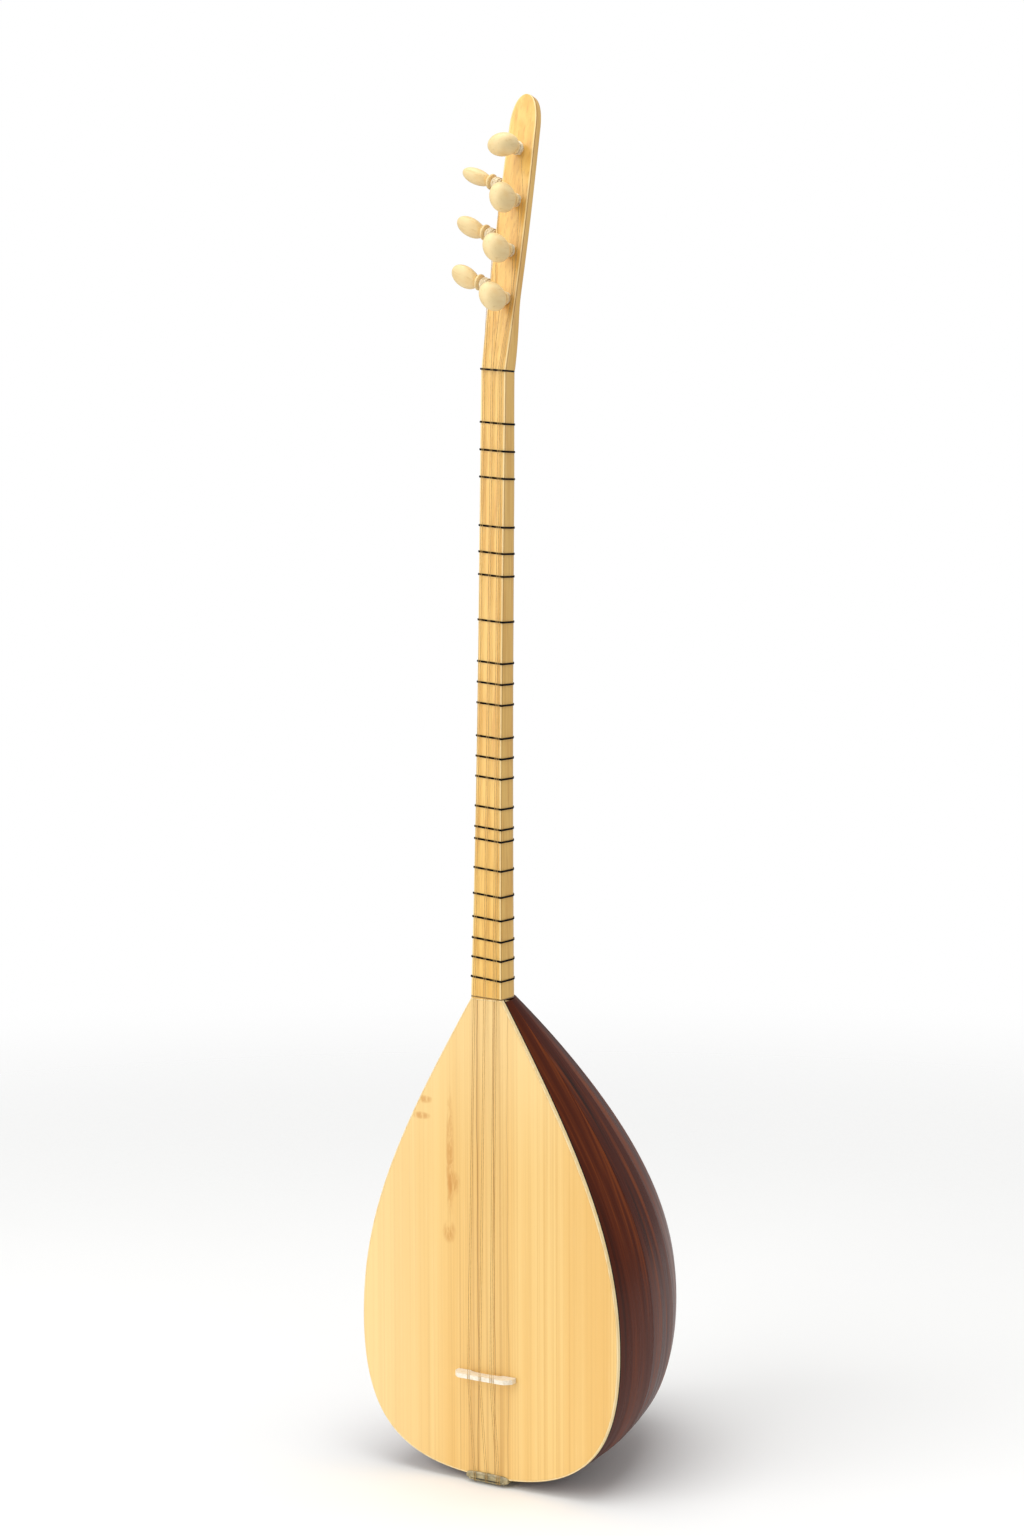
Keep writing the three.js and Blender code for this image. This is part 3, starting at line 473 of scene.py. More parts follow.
def tube(path, radius, sides=10, closed=False):
    """Points and faces of a round line through path. radius may be one value per point."""
    points = []
    total = len(path)
    up = None
    for i, here in enumerate(path):
        if closed:
            along = path[(i + 1) % total] - path[i - 1]
        else:
            along = path[min(i + 1, total - 1)] - path[max(i - 1, 0)]
        along = along.normalized()
        if up is None:
            up = Vector((0, 0, 1)) if abs(along.z) < 0.8 else Vector((0, -1, 0))
        up = (up - along * up.dot(along)).normalized()
        side = along.cross(up)
        size = radius[i] if isinstance(radius, list) else radius
        for j in range(sides):
            turn = 2 * math.pi * j / sides
            points.append(here + (up * math.cos(turn) + side * math.sin(turn)) * size)
    faces = ring_faces(sides, total, closed)
    if not closed:
        faces.append(tuple(reversed(range(sides))))
        faces.append(tuple(range((total - 1) * sides, total * sides)))
    return points, faces


def joined(parts):
    """Several (points, faces) as one."""
    points, faces = [], []
    for some_points, some_faces in parts:
        start = len(points)
        points += some_points
        faces += [tuple(start + i for i in face) for face in some_faces]
    return points, faces


def lerp(a, b, share):
    return a + (b - a) * share


def smoothstep(value, low, high):
    share = min(max((value - low) / (high - low), 0), 1)
    return share * share * (3 - 2 * share)


# ---- body outline and bowl ----------------------------------------------------------

UPPER_SIDE = ((HEEL_HALF_WIDTH, 0), (93, -128), (BODY_HALF_WIDTH, -205),
              (BODY_HALF_WIDTH, BODY_WIDEST_Z))
LOWER_SIDE = ((BODY_HALF_WIDTH, BODY_WIDEST_Z), (BODY_HALF_WIDTH, -388), (99, -BODY_LENGTH),
              (0, -BODY_LENGTH))


def bezier(points, t):
    weights = ((1 - t) ** 3, 3 * t * (1 - t) ** 2, 3 * t * t * (1 - t), t**3)
    return [sum(w * p[axis] for w, p in zip(weights, points)) for axis in (0, 1)]


def side_at(s):
    """Half width and height of the body's edge: s is 0 at the neck, 2 at the tail."""
    return bezier(UPPER_SIDE, s) if s <= 1 else bezier(LOWER_SIDE, s - 1)


def depth_ratio(s):
    return BOWL_DEPTH_RATIO + HEEL_DEPTH_EXTRA * max(1 - s, 0) ** 3


def bowl_point(s, angle):
    """A point of the round bowl: angle goes from the right edge, round the back, to the left."""
    half, z = side_at(s)
    depth = half * depth_ratio(s)
    return Vector((half * math.cos(angle), RIM_Y + depth * math.sin(angle), z))


def bowl_normal(s, angle):
    step = 1e-3
    along = bowl_point(min(s + step, 2), angle) - bowl_point(s - step, angle)
    half, z = side_at(s)
    depth = half * depth_ratio(s)
    across = Vector((-half * math.sin(angle), depth * math.cos(angle), 0))
    return along.cross(across).normalized()


def seam_angles():
    """Seams that give staves of equal width round the widest section."""
    steps = 720
    lengths = [0.0]
    for i in range(1, steps + 1):
        before = bowl_point(1, math.pi * (i - 1) / steps)
        after = bowl_point(1, math.pi * i / steps)
        lengths.append(lengths[-1] + (after - before).length)
    angles = []
    for seam in range(RIB_COUNT + 1):
        wanted = lengths[-1] * seam / RIB_COUNT
        index = next(i for i, length in enumerate(lengths) if length >= wanted - 1e-9)
        angles.append(math.pi * index / steps)
    return angles


def stave(index, start_angle, end_angle):
    """One bent rib, thin and hollow behind, with its grain running along it."""
    along_steps, across_steps = 90, 10
    grain_apart, grain_ahead = 400, 900  # how far apart two staves lie in the wood grain
    rings, grain = [], []
    length = 0.0
    before = None
    for i in range(along_steps + 1):
        s = lerp(TAIL_END_S, RIB_START_S, i / along_steps)
        outer, inner, outer_grain, inner_grain = [], [], [], []
        start, end = bowl_point(s, start_angle), bowl_point(s, end_angle)
        chord = end - start
        middle = (start + end) / 2
        if before is not None:
            length += (middle - before).length
        before = middle
        for j in range(across_steps + 1):
            share = j / across_steps
            angle = lerp(start_angle, end_angle, share)
            outside = bowl_point(s, angle).lerp(start.lerp(end, share), RIB_FLATNESS)
            if j in (0, across_steps):
                outside += chord.normalized() * (SEAM_HALF_GAP if j == 0 else -SEAM_HALF_GAP)
            outer.append(at(*outside))
            inner.insert(0, at(*(outside - bowl_normal(s, angle) * RIB_THICKNESS)))
            across = (share - 0.5) * chord.length
            place = ((across + grain_apart * index) * MM, (length + grain_ahead * index) * MM)
            outer_grain.append(place)
            inner_grain.insert(0, place)
        rings.append(outer + inner)
        grain += outer_grain + inner_grain
    points, faces = loft(rings)
    name = f"rib_{index + 1:02d}"
    made = piece(f"stave_{index + 1:02d}", points, faces, ROSEWOOD, replaces=[name],
                 slot="rosewood_staves", layers={"grain": grain})
    bevel(made, 0.5)


def outline(inset):
    """The body's edge moved inwards, clockwise from the top right corner."""
    steps = 96
    right = []
    for i in range(steps + 1):
        s = 2 * i / steps
        half, z = side_at(s)
        ahead, behind = side_at(min(s + 1e-3, 2)), side_at(max(s - 1e-3, 0))
        tangent = Vector((ahead[0] - behind[0], ahead[1] - behind[1])).normalized()
        right.append([half + tangent.y * inset, z - tangent.x * inset])
    right[0][1] = -inset
    right[-1] = [0, -BODY_LENGTH + inset]
    return right + [[-x, z] for x, z in reversed(right[:-1])]


def plate(edge, front, back):
    """A flat plate with that edge, between two depths."""
    rings = [[at(x, y, z) for x, z in edge] for y in (front, back)]
    return loft(rings)


def band(outer, inner, front, back):
    """A flat strip between two edges."""
    rings = [
        [at(x, front, z) for x, z in outer],
        [at(x, back, z) for x, z in outer],
        [at(x, back, z) for x, z in inner],
        [at(x, front, z) for x, z in inner],
    ]
    points = [point for ring in rings for point in ring]
    return points, ring_faces(len(outer), 4, closed=True)


def add_body():
    seams = seam_angles()
    for i in range(RIB_COUNT):
        stave(i, seams[i], seams[i + 1])
    board = piece("spruce_board", *plate(outline(PALE_EDGE_WIDTH), 0, BOARD_THICKNESS), SPRUCE,
                  replaces=["soundboard"], slot="spruce_board")
    bevel(board, 0.1, 1)
    # The pale strip round the board's edge is a painted highlight of its lit edge.
    edge = band(outline(0), outline(PALE_EDGE_WIDTH), 0, BOARD_THICKNESS)
    strip = piece("board_edge_highlight", *edge, EDGE_HIGHLIGHT, replaces=["soundboard"], slot="spruce_board")
    bevel(strip, 0.4, 3)
    line = band(outline(0.05), outline(PURFLING_WIDTH), BOARD_THICKNESS, RIM_Y)
    piece("dark_purfling", *line, VENEER, replaces=["purfling"], slot="black_veneer")


# ---- neck, nut and frets ------------------------------------------------------------


def neck_front(z):
    return z * math.tan(NECK_TILT)


def neck_half_width(z):
    share = max(0, 1 - z / NECK_FLARE_Z)
    return NECK_HALF_WIDTH + (HEEL_HALF_WIDTH - NECK_HALF_WIDTH) * share**2


def neck_depth(z):
    long = lerp(HEEL_DEPTH, NECK_DEPTH, min(z / NECK_SLIM_Z, 1))
    return lerp(long, NUT_DEPTH, smoothstep(z, NECK_SLIM_Z, NECK_LENGTH))


def section(half_width, depth, corner_x, corner_y, grow=0, front_corner=FRONT_CORNER):
    """A flat front, straight sides and rounded back corners, from the right front corner."""
    half, back = half_width + grow, depth + grow
    steps = 10
    points = []
    for i in range(4):
        turn = math.pi / 2 * i / 3
        points.append((half - front_corner * (1 - math.sin(turn)),
                       -grow + front_corner * (1 - math.cos(turn))))
    straight = back - corner_y - grow
    for i in range(1, 4):
        points.append((half, lerp(front_corner - grow, straight, i / 4)))
    for i in range(steps + 1):
        turn = math.pi / 2 * i / steps
        points.append((half - (corner_x + grow) * (1 - math.cos(turn)),
                       straight + (corner_y + grow) * math.sin(turn)))
    return points + [(-x, y) for x, y in reversed(points)]


def neck_section(z, grow=0, front_corner=FRONT_CORNER):
    half, depth = neck_half_width(z), neck_depth(z)
    corner_x, corner_y = half * NECK_CORNER_SHARE, depth * NECK_ROUNDING
    return section(half, depth, corner_x, corner_y, grow, front_corner)


def edge_distance(points):
    """How far each point of a section is from the nearer front corner, in metres.

    It is below 0 on the front, and above 0 on the sides and back.
    """
    half = max(x for x, y in points)
    result = []
    for x, y in points:
        value = max(y, 0) if y > 0.5 else -(half - abs(x))
        result.append((value * MM, 0))
    return result


def front_strips(points):
    """A section with extra points along its flat front, so that the edge layer is true."""
    first, last = points[0], points[-1]
    extra = []
    for share in (0.05, 0.1, 0.3, 0.5, 0.7, 0.9, 0.95):
        extra.append((lerp(last[0], first[0], share), lerp(last[1], first[1], share)))
    return points + extra


def on_neck(x, y, z, slant=FRET_SLANT):
    """A section's point on the neck at height z, lower on the right when slanted."""
    height = z - x * math.tan(slant)
    return at(x, y + neck_front(height), height)


def add_neck():
    rings, edges = [], []
    steps = 90
    top = NECK_LENGTH - NUT_THICKNESS / 2 - 0.02
    for i in range(steps + 1):
        z = lerp(0.05, top, i / steps)
        points = front_strips(neck_section(z))
        edges += edge_distance(points)
        slant = FRET_SLANT * smoothstep(z, top - SLANT_RUN, top)
        rings.append([on_neck(x, y, z, slant) for x, y in points])
    points, faces = loft(rings)
    piece("neck_wood", points, faces, HORNBEAM, replaces=["neck"], slot="pale_neck_wood",
          layers={"edge": edges})


def add_nut():
    bottom = NECK_LENGTH - NUT_THICKNESS / 2
    rings = []
    for z in (bottom, bottom + NUT_THICKNESS):
        points = neck_section(NECK_LENGTH, 0, 0.4)
        lifted = [(x, y - NUT_HEIGHT if y < 0.45 else y) for x, y in points]
        rings.append([on_neck(x, y, z) for x, y in lifted])
    points, faces = loft(rings)
    bevel(piece("nut_strip", points, faces, VENEER, replaces=["nut"], slot="black_veneer"), 0.3)


def add_fret(number):
    """A line wound three times round the neck and knotted on its left side."""
    name = f"fret_{number:02d}"
    low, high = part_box(name)
    z = ((low[2] + high[2]) / 2 - ORIGIN.z) / MM
    grow = FRET_STAND_OFF + FRET_LINE_RADIUS
    radius = FRET_LINE_RADIUS * MM
    turns = []
    for turn in (-1, 0, 1):
        height = z + turn * 2 * FRET_LINE_RADIUS * 0.93
        path = [on_neck(x, y, height) for x, y in neck_section(z, grow)]
        turns.append(tube(path, radius, 8, closed=True))
    half = neck_half_width(z) + grow
    depth = neck_depth(z) * KNOT_DEPTH_SHARE + neck_front(z)
    z += half * math.tan(FRET_SLANT)
    knot = []
    for i in range(14):
        turn = math.pi * 2 * i / 14
        out = half + 0.25 + 0.42 * math.cos(turn)
        knot.append(at(-out, depth + 0.35 * math.sin(2 * turn), z + 1.05 * math.sin(turn)))
    turns.append(tube(knot, radius, 8, closed=True))
    for sign in (-1, 1):
        tail = [at(-half - 0.45, depth, z + 0.2 * sign), at(-half - 0.7, depth + 0.5, z + sign),
                at(-half - 0.6, depth + 1.3, z + 1.9 * sign)]
        turns.append(tube(tail, radius * 0.9, 8))
    piece(f"{name}_line", *joined(turns), NYLON, body=name, replaces=[name], slot="fret_line",
          sharp=60)


# ---- peghead ------------------------------------------------------------------------

HEAD_PLACE = (
    Matrix.Translation(at(0, neck_front(NECK_LENGTH), NECK_LENGTH))
    @ Matrix.Rotation(-HEAD_TILT, 4, "X")
)


def head_point(x, y, height):
    """A point given on the tilted peghead, in the frame."""
    return HEAD_PLACE @ (Vector((x, y, height)) * MM)


def head_half_width(height):
    shoulder = HEAD_LENGTH - HEAD_TIP_LENGTH
    share = min(height / shoulder, 1)
    width = lerp(NECK_HALF_WIDTH, HEAD_SHOULDER_HALF_WIDTH, share)
    width += HEAD_SWELL * math.sin(math.pi * share)
    if height <= shoulder:
        return width
    past = (height - shoulder) / HEAD_TIP_LENGTH
    return width * max(1 - past**HEAD_TIP_FULLNESS, 0) ** (1 / HEAD_TIP_FULLNESS)


def head_section(height):
    share = smoothstep(height, 0, HEAD_WAIST)
    half = head_half_width(height)
    depth = lerp(neck_depth(NECK_LENGTH), HEAD_THICKNESS, share)
    corner_x = min(lerp(half * NECK_CORNER_SHARE, HEAD_CORNER, share), half * 0.9)
    corner_y = lerp(depth * NECK_ROUNDING, HEAD_CORNER, share)
    front = min(lerp(FRONT_CORNER, 1.2, share), half * 0.5)
    return front_strips(section(half, depth, corner_x, corner_y, 0, front))


def cut(thing, cutters):
    """Takes the cutters' space out of a piece and removes them."""
    for cutter in cutters:
        modifier = thing.modifiers.new("cut", "BOOLEAN")
        modifier.operation = "DIFFERENCE"
        modifier.solver = "EXACT"
        modifier.object = cutter
        graph = bpy.context.evaluated_depsgraph_get()
        mesh = bpy.data.meshes.new_from_object(thing.evaluated_get(graph))
        thing.modifiers.clear()
        thing.data = mesh
        bpy.data.objects.remove(cutter)


def cutter(points, faces):
    """A body to cut the peghead with. It leaves its own wood on the cut."""
    thing = bpy.data.objects.new("cutter", mesh_of("cutter", points, faces, HORNBEAM))
    bpy.context.scene.collection.objects.link(thing)
    return thing


def add_peghead():
    """The bent-back head, cut off at the nut and bored for its pegs."""
    shoulder = HEAD_LENGTH - HEAD_TIP_LENGTH
    heights = [-5.9 + 76 * i / 40 for i in range(41)]
    heights += [lerp(74, shoulder, i / 44) for i in range(45)]
    heights += [shoulder + HEAD_TIP_LENGTH * math.sin(math.pi / 2 * i / 28) * 0.9985
                for i in range(1, 29)]
    rings, edges = [], []
    for height in heights:
        points = head_section(height)
        edges += edge_distance(points)
        rings.append([head_point(x, y, height) for x, y in points])
    head = piece("peghead_wood", *loft(rings), HORNBEAM, replaces=["peghead"],
                 slot="pale_neck_wood", layers={"edge": edges}, sharp=40)
    top = NECK_LENGTH + NUT_THICKNESS / 2 + 0.03
    corners = [at(x, y, z - x * math.tan(FRET_SLANT)) for z in (top - 40, top)
               for x, y in ((-40, -40), (40, -40), (40, 80), (-40, 80))]
    tools = [cutter(*loft([corners[:4], corners[4:]]))]
    for joint in peg_joints():
        radius = (PEG_SHAFT_RADIUS + PEG_CLEARANCE) * MM
        deep = joint["inward"] + (20 if joint["front"] else 0.5)
        path = [joint["place"] @ Vector((0, 0, z * MM)) for z in (-deep, 30)]
        tools.append(cutter(*tube(path, radius, 40)))
    cut(head, tools)
    head.data.shade_smooth()
    head.data.set_sharp_from_angle(angle=math.radians(35))


# ---- pegs and their windings --------------------------------------------------------


def peg_joints():
    """Each peg's body, place in the frame (its own +Z points out of the wood) and sizes."""
    pegs = []
    for joint in frame["joints"]:
        name = joint["child"]
        if not name.startswith("peg_"):
            continue
        front = name.startswith("peg_front")
        index = int(name[-1]) - 1
        axis = Vector(joint["axis"]).normalized()
        if front:
            right = Vector((1, 0, 0))
        else:
            right = Matrix.Rotation(-HEAD_TILT, 3, "X") @ Vector(
                (math.sin(SIDE_PEG_RISE), 0, math.cos(SIDE_PEG_RISE))
            )
        right = (right - axis * right.dot(axis)).normalized()
        over = axis.cross(right)
        place = Matrix((right, over, axis)).transposed().to_4x4()
        place.translation = Vector(joint["pos_m"])
        if front:
            knob = {**FRONT_KNOB, "start": FRONT_KNOB_STARTS[index]}
            inward = HEAD_THICKNESS - 0.5
            turn = math.radians(FRONT_PEG_TURNS[index])
        else:
            height = (HEAD_PLACE.inverted() @ place.translation).z / MM
            knob = SIDE_KNOB
            inward = (head_half_width(height) - SIDE_PEG_STOP) / math.cos(SIDE_PEG_RISE)
            turn = math.radians(SIDE_PEG_TURNS[index])
        place = place @ Matrix.Rotation(turn, 4, "Z")
        pegs.append({"name": name, "front": front, "index": index, "place": place,
                     "knob": knob, "inward": inward})
    return pegs


def peg_profile(inward, knob, collar_radius):
    """Radius and height up the peg: tip, shaft, collar, groove and egg-shaped knob."""
    start, length, radius = knob["start"], knob["length"], knob["radius"]
    collar = start - COLLAR_LENGTH
    profile = [(0, -inward), (PEG_TIP_RADIUS - 0.5, -inward), (PEG_TIP_RADIUS, -inward + 0.5)]
    profile += [(lerp(PEG_TIP_RADIUS, PEG_SHAFT_RADIUS, i / 4), lerp(-inward + 0.5, 0, i / 4))
                for i in range(1, 5)]
    profile += [(PEG_SHAFT_RADIUS, collar - 0.5), (PEG_SHAFT_RADIUS + 0.6, collar - 0.1)]
    for i in range(9):
        turn = math.pi * (i / 8 - 0.5)
        profile.append((collar_radius - 0.6 + 1.1 * math.cos(turn),
                        collar + 1.3 + 1.3 * math.sin(turn)))
    profile += [(COLLAR_RADIUS - 1.3, collar + 2.9), (COLLAR_RADIUS - 1.2, collar + 3.4)]
    steps = 30
    for i in range(3, steps):
        turn = math.pi * i / steps
        along = start + length * (1 - math.cos(turn)) / 2
        size = radius * math.sin(turn) ** 0.88
        if along > collar + 3.9:
            profile.append((size, along))
    profile.append((0, start + length))
    return profile


def turned(profile, flatness, start):
    """A turned body. From the knob upwards it is squeezed across to flatness."""
    sides = 48
    points = []
    for radius, along in profile:
        squeeze = lerp(1, flatness, smoothstep(along, start - 6, start + 6))
        if radius == 0:
            points.append(Vector((0, 0, along * MM)))
            continue
        for i in range(sides):
            turn = 2 * math.pi * i / sides
            x, y = radius * squeeze * math.cos(turn), radius * math.sin(turn)
            points.append(Vector((x, y, along)) * MM)
    faces = ring_faces(sides, len(profile) - 2, first=1)
    last = len(points) - 1
    for i in range(sides):
        j = (i + 1) % sides
        faces.append((0, 1 + j, 1 + i))
        faces.append((last, last - sides + i, last - sides + j))
    return points, faces


def winding(knob):
    """String wound on the peg in three layers of close turns, each shorter than the last."""
    shaft = knob["start"] - COLLAR_LENGTH
    middle = WINDING_SHARE * shaft
    half = min(middle - WINDING_FOOT, shaft - middle - 0.3, WINDING_REACH)
    around = 22
    layers = []
    for layer in range(WINDING_LAYERS):
        reach = half * (1 - 0.22 * layer)
        turns = reach / WINDING_RADIUS * 0.92
        radius = PEG_SHAFT_RADIUS + WINDING_RADIUS * (1 + 1.6 * layer)
        path = []
        steps = int(turns * around)
        for i in range(steps + 1):
            turn = 2 * math.pi * i / around
            height = middle + reach * (2 * i / steps - 1) * (-1 if layer % 2 else 1)
            wobble = 0.08 * math.sin(2.3 * turn + layer)
            size = radius + wobble * layer
            path.append(Vector((size * math.cos(turn), size * math.sin(turn), height)) * MM)
        layers.append(tube(path, WINDING_RADIUS * MM, 8))
    return joined(layers)


def add_pegs():
    for peg in peg_joints():
        knob = peg["knob"]
        collar = COLLAR_RADIUS if peg["front"] else SIDE_COLLAR
        profile = peg_profile(peg["inward"], knob, collar)
        shape = turned(profile, knob["flatness"], knob["start"])
        piece(f"{peg['name']}_wood", *shape, BOXWOOD, body=peg["name"], replaces=[peg["name"]],
              slot="boxwood_pegs", sharp=60, place=peg["place"])
        # The winding's pale cream colour is a painted highlight of the same string.
        piece(f"{peg['name']}_winding", *winding(knob), WINDING_HIGHLIGHT, body=peg["name"],
              slot="string_steel", sharp=60, place=peg["place"])


# ---- bridge, tailpiece and strings --------------------------------------------------


def string_x(course, place, share):
    """A string's place across: share is 0 at the bridge and 1 at the nut."""
    centred = place - (COURSES[course] - 1) / 2
    return (course - 1) * lerp(COURSE_AT_BRIDGE, COURSE_AT_NUT, share) + centred * STRING_SPACING


def all_strings():
    """Number, course and place in the course of each string, from the left."""
    number = 0
    for course, count in enumerate(COURSES):
        for place in range(count):
            number += 1
            yield number, course, place


def add_bridge():
    """Two feet, a low arch, and a slightly sloping top with a rounded notch per string."""
    low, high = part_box("bridge")
    half = high[0] / MM
    bottom, top = (high[1] - ORIGIN.y) / MM, (low[1] - ORIGIN.y) / MM
    upper = []
    xs = [-half + 6 + (2 * half - 12) * i / 320 for i in range(321)]
    for x in xs:
        crown = top + 0.9 * (abs(x) / half) ** 4
        notch = 0.0
        for _, course, place in all_strings():
            near = abs(x - string_x(course, place, 0))
            if near < NOTCH_RADIUS:
                notch = max(notch, NOTCH_DEPTH + math.sqrt(NOTCH_RADIUS**2 - near**2))
        upper.append((x, crown + notch))
    edge = [(-half, bottom), (-half, -6.2), (-half + 1.2, -8.2), (-half + 3, -10)] + upper
    edge += [(half - 3, -10), (half - 1.2, -8.2), (half, -6.2), (half, bottom)]
    foot, arch = 13, 3.4
    edge += [(half - foot + 1, bottom)]
    for i in range(21):
        share = i / 20
        x = lerp(half - foot, -half + foot, share)
        rise = math.sin(math.pi * share) ** 0.35 if 0 < share < 1 else 0
        edge.append((x, bottom - arch * rise))
    edge += [(-half + foot - 1, bottom)]
    middle_z = ((low[2] + high[2]) / 2 - ORIGIN.z) / MM
    thick = (high[2] - low[2]) / MM
    rings = []
    for side in (-1, 1):
        ring = []
        for x, y in edge:
            taper = lerp(1, 0.86, smoothstep(-y, 2, 12))
            ring.append(at(x, y, middle_z + side * thick / 2 * taper))
        rings.append(ring)
    made = piece("bridge_bone", *loft(rings), BONE, body="bridge", replaces=["bridge"],
                 slot="bone_bridge", sharp=30)
    bevel(made, 0.35, 3, 50)


def add_tailpiece():
    """A boat-shaped holder: a lip over the board's edge, a plate on the tail and a slot."""
    half = TAILPIECE_WIDTH / 2
    low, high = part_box("tailpiece")
    back = (high[1] - ORIGIN.y) / MM
    edge = -BODY_LENGTH - TAILPIECE_GAP
    outer = edge - TAILPIECE_THICKNESS + 0.45
    rings = []
    steps = 44
    for i in range(steps + 1):
        share = i / steps * 2 - 1
        x = half * math.sin(share * math.pi / 2)
        boat = math.sqrt(max(1 - (x / half) ** 4, 0.0))
        under = lerp(edge - 1.4, outer, boat)
        lip = LIP_HEIGHT * lerp(0.55, 1, boat)
        over = lerp(-BODY_LENGTH + 1.6, -BODY_LENGTH + TAILPIECE_LIP, boat)
        shape = [(-lip + 0.9, over), (-TAILPIECE_GAP, over), (-TAILPIECE_GAP, edge), (back, edge),
                 (back, lerp(edge, under, 0.5)), (back - 1.2, under), (14, under),
                 (2, under), (-lip + 1.1, under), (-lip + 0.3, under + 0.5),
                 (-lip, under + 1.4), (-lip, over - 1.6)]
        rings.append([at(x, y, z) for y, z in shape])
    made = piece("tailpiece_horn", *loft(rings), HORN, replaces=["tailpiece"],
                 slot="horn_tailpiece", sharp=30)
    bevel(made, 0.3, 2, 45)
    groove_z = (edge + outer) / 2
    path = [at(x, -LIP_HEIGHT * lerp(0.8, 1, 1 - (x / half) ** 2) - 0.02, groove_z)
            for x in [half * 0.8 * (i / 20 * 2 - 1) for i in range(21)]]
    slot_line = tube(path, [lerp(0.1, 0.55, 1 - abs(i / 10 - 1) ** 3) * MM for i in range(21)])
    piece("tailpiece_slot", *slot_line, SHADOW, slot="horn_tailpiece", sharp=60)
    for side, name in ((-1, "left"), (1, "right")):
        middle = side * half * 0.8
        lug = [at(middle + dx, -LIP_HEIGHT + 0.9, groove_z) for dx in (-1.6, -1.2, 0, 1.2, 1.6)]
        sizes = [size * MM for size in (0.5, 1.2, 1.6, 1.2, 0.5)]
        piece(f"tailpiece_lug_{name}", *tube(lug, sizes, 16), HORN, slot="horn_tailpiece",
              sharp=60)


def string_ends():
    """Where each string meets its own peg's winding."""
    reach = PEG_SHAFT_RADIUS + STRING_RADIUS + 0.5
    ends = {}
    for peg in peg_joints():
        place, knob = peg["place"], peg["knob"]
        out = WINDING_SHARE * (knob["start"] - COLLAR_LENGTH)
        if peg["front"]:
            sign = -1 if peg["index"] == 3 else 1
            foot = place @ Vector((0, 0, out * MM))
            ends[7 - peg["index"]] = foot + Vector((sign * reach * MM, 0, 0))
        else:
            front = place.inverted().to_3x3() @ (HEAD_PLACE.to_3x3() @ Vector((0, -1, 0)))
            ends[3 - peg["index"]] = place @ ((front * reach + Vector((0, 0, out))) * MM)
    return ends


def way_points(number):
    """Where a string bends on its way over the peghead."""
    pegs = {peg["name"]: peg for peg in peg_joints()}
    if number <= 3:
        place = pegs[f"peg_side_{4 - number}"]["place"].translation
        height = (HEAD_PLACE.inverted() @ place).z / MM - 6
        return [head_point(-head_half_width(height) - 0.7, -0.8, height)]
    points = []
    own = 8 - number
    for peg in range(4, own, -1):
        spot = HEAD_PLACE.inverted() @ pegs[f"peg_front_{peg}"]["place"].translation
        beside = spot.x / MM + COLLAR_RADIUS + 0.7 * (number - 4)
        points.append(head_point(beside, -FACE_CLEARANCE, spot.z / MM))
    return points


def rounded_path(points):
    """The same path with every inner corner turned into a short bend."""
    steps = 5
    path = [points[0]]
    for before, here, after in zip(points, points[1:], points[2:]):
        near = min(STRING_BEND * MM, (before - here).length * 0.4, (after - here).length * 0.4)
        start = here + (before - here).normalized() * near
        end = here + (after - here).normalized() * near
        for i in range(steps + 1):
            t = i / steps
            path.append(start.lerp(here, t).lerp(here.lerp(end, t), t))
    return path + [points[-1]]


def add_strings():
    """Taut wires from the tail over the bridge and the nut, each to its own peg."""
    bridge_low, bridge_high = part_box("bridge")
    bridge_z = ((bridge_low[2] + bridge_high[2]) / 2 - ORIGIN.z) / MM
    clear = STRING_RADIUS + 0.1
    ends = string_ends()
    tail = -BODY_LENGTH - TAILPIECE_THICKNESS
    for number, course, place in all_strings():
        x, nut_x = string_x(course, place, 0), string_x(course, place, 1)
        nut_z = NECK_LENGTH - nut_x * math.tan(FRET_SLANT)
        nut_y = neck_front(nut_z) - NUT_HEIGHT - clear - 0.05
        route = [
            at(x, 3, tail - 0.1),
            at(x, -1.2, tail - 0.1),
            at(x, -LIP_HEIGHT - clear, tail + 1.2),
            at(x, -LIP_HEIGHT - clear - 0.2, -BODY_LENGTH + TAILPIECE_LIP - 1),
            at(x, -BRIDGE_TOP - 0.3, bridge_z),
            at(nut_x, nut_y, nut_z),
            *way_points(number),
            ends[number],
        ]
        name = f"string_{number}"
        wire = tube(rounded_path(route), STRING_RADIUS * MM, 12)
        piece(f"{name}_wire", *wire, STEEL, replaces=[name],
              slot="string_steel", sharp=60)


def finish_inner_pieces():
    """The blocks and braces inside the bowl keep their CAD shape, in bare linden."""
    for name in ("neck_block", "tail_block", "brace_1", "brace_2"):
        for slot in frame["nodes"][name].material_slots:
            slot.material = LINDEN


# ---- stage, light and camera --------------------------------------------------------

FLOOR_RADIUS = 2.6  # metres
FLOOR_DROP = 0.0003
WORLD_LIGHT = 0.45
BACKDROP_WHITE = 1.0
# Each light's name, azimuth and elevation in degrees, distance and size in metres, and watts.
LIGHTS = [
    ("key", -22, 20, 3.2, 2.8, 56),
    ("rim", 128, 18, 3.2, 1.6, 12),
    ("overhead", 10, 84, 3.0, 3.0, 70),
]
CAMERA_AZIMUTH = math.radians(30.92)
CAMERA_ELEVATION = math.radians(4.97)
CAMERA_ROLL = math.radians(-0.18)
CAMERA_DISTANCE = 2403
CAMERA_TARGET = (28.2, -1.44, 204.46)
CAMERA_LENS = 65.3


def outward(azimuth, elevation):
    """The direction from the instrument to something that looks at it from there."""
    level = math.cos(elevation)
    return Vector((math.sin(azimuth) * level, -math.cos(azimuth) * level, math.sin(elevation)))


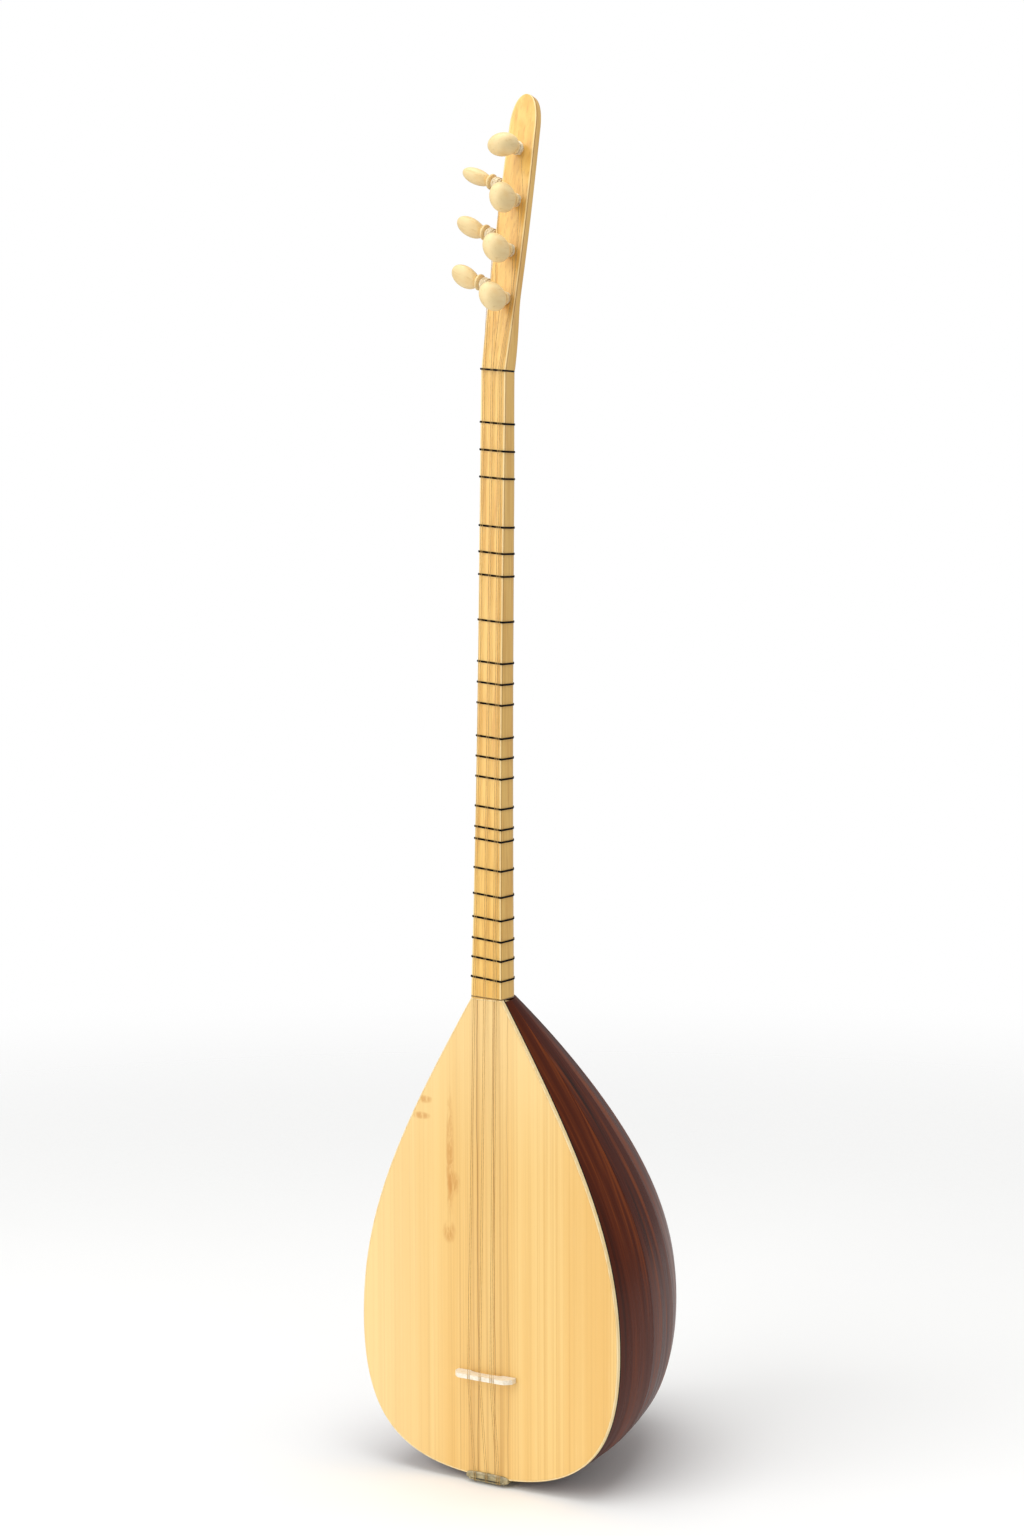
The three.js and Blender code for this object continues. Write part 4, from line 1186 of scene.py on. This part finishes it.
def floor_finish():
    """Pale floor paper that fades out into the backdrop well away from the instrument."""
    paper = Finish("floor_paper", Roughness=0.8)
    paper.shader.inputs["Specular IOR Level"].default_value = 0.1
    spot = paper.place()
    cloud = paper.noise(paper.place((3, 3, 3)))
    distance = paper.add("ShaderNodeVectorMath", {0: spot}, operation="LENGTH").outputs["Value"]
    shown = paper.ramp(distance, FLOOR_RADIUS, FLOOR_RADIUS * 0.3)
    paper.tree.links.new(shown, paper.shader.inputs["Alpha"])
    base = paper.mix(cloud, colour("#fbfbfa"), colour("#f9f9f8"))
    return paper.finish(base)


def add_stage():
    """A wide pale floor under the tail."""
    segments = 96
    points = [Vector((0, 0, 0))]
    for i in range(segments):
        turn = 2 * math.pi * i / segments
        points.append(Vector((math.cos(turn), math.sin(turn), 0)) * FLOOR_RADIUS)
    faces = [(0, 1 + i, 1 + (i + 1) % segments) for i in range(segments)]
    mesh = bpy.data.meshes.new("floor")
    mesh.from_pydata([tuple(p) for p in points], [], faces)
    mesh.materials.append(floor_finish())
    floor = bpy.data.objects.new("floor", mesh)
    floor.location.z = CAD_LOW[2] - FLOOR_DROP
    bpy.context.scene.collection.objects.link(floor)


def area_light(name, azimuth, elevation, distance, size, power):
    """A square soft light that looks at the instrument's middle."""
    target = (Vector(CAD_LOW) + Vector(CAD_HIGH)) / 2
    back = outward(math.radians(azimuth), math.radians(elevation))
    data = bpy.data.lights.new(name, "AREA")
    data.shape = "SQUARE"
    data.size = size
    data.energy = power
    light = bpy.data.objects.new(name, data)
    light.location = target + back * distance
    light.rotation_mode = "QUATERNION"
    light.rotation_quaternion = (-back).to_track_quat("-Z", "Y")
    bpy.context.scene.collection.objects.link(light)


def add_light():
    """A white backdrop that lights softly, and three large soft lights."""
    world = bpy.data.worlds.new("studio")
    world.use_nodes = True
    tree = world.node_tree
    ray = tree.nodes.new("ShaderNodeLightPath")
    strength = tree.nodes.new("ShaderNodeMapRange")
    strength.inputs["To Min"].default_value = WORLD_LIGHT
    strength.inputs["To Max"].default_value = BACKDROP_WHITE
    tree.links.new(ray.outputs["Is Camera Ray"], strength.inputs["Value"])
    tree.links.new(strength.outputs["Result"], tree.nodes["Background"].inputs["Strength"])
    tree.nodes["Background"].inputs["Color"].default_value = (1, 1, 1, 1)
    bpy.context.scene.world = world
    for light in LIGHTS:
        area_light(*light)
    bpy.context.scene.view_settings.view_transform = "Standard"


def add_camera():
    """The camera stands in front, to the right and a little above."""
    back = outward(CAMERA_AZIMUTH, CAMERA_ELEVATION)
    data = bpy.data.cameras.new("camera")
    data.sensor_width = 36
    data.lens = CAMERA_LENS
    data.clip_end = 100
    camera = bpy.data.objects.new("camera", data)
    camera.rotation_mode = "QUATERNION"
    turn = (-back).to_track_quat("-Z", "Y").to_matrix().to_4x4()
    place = Matrix.Translation(at(*CAMERA_TARGET) + back * CAMERA_DISTANCE * MM)
    camera.matrix_world = place @ turn @ Matrix.Rotation(CAMERA_ROLL, 4, "Z")
    bpy.context.scene.collection.objects.link(camera)
    bpy.context.scene.camera = camera


add_camera()
add_body()
add_neck()
add_nut()
for fret in range(1, FRET_COUNT + 1):
    add_fret(fret)
add_peghead()
add_pegs()
add_bridge()
add_tailpiece()
add_strings()
finish_inner_pieces()
add_stage()
add_light()
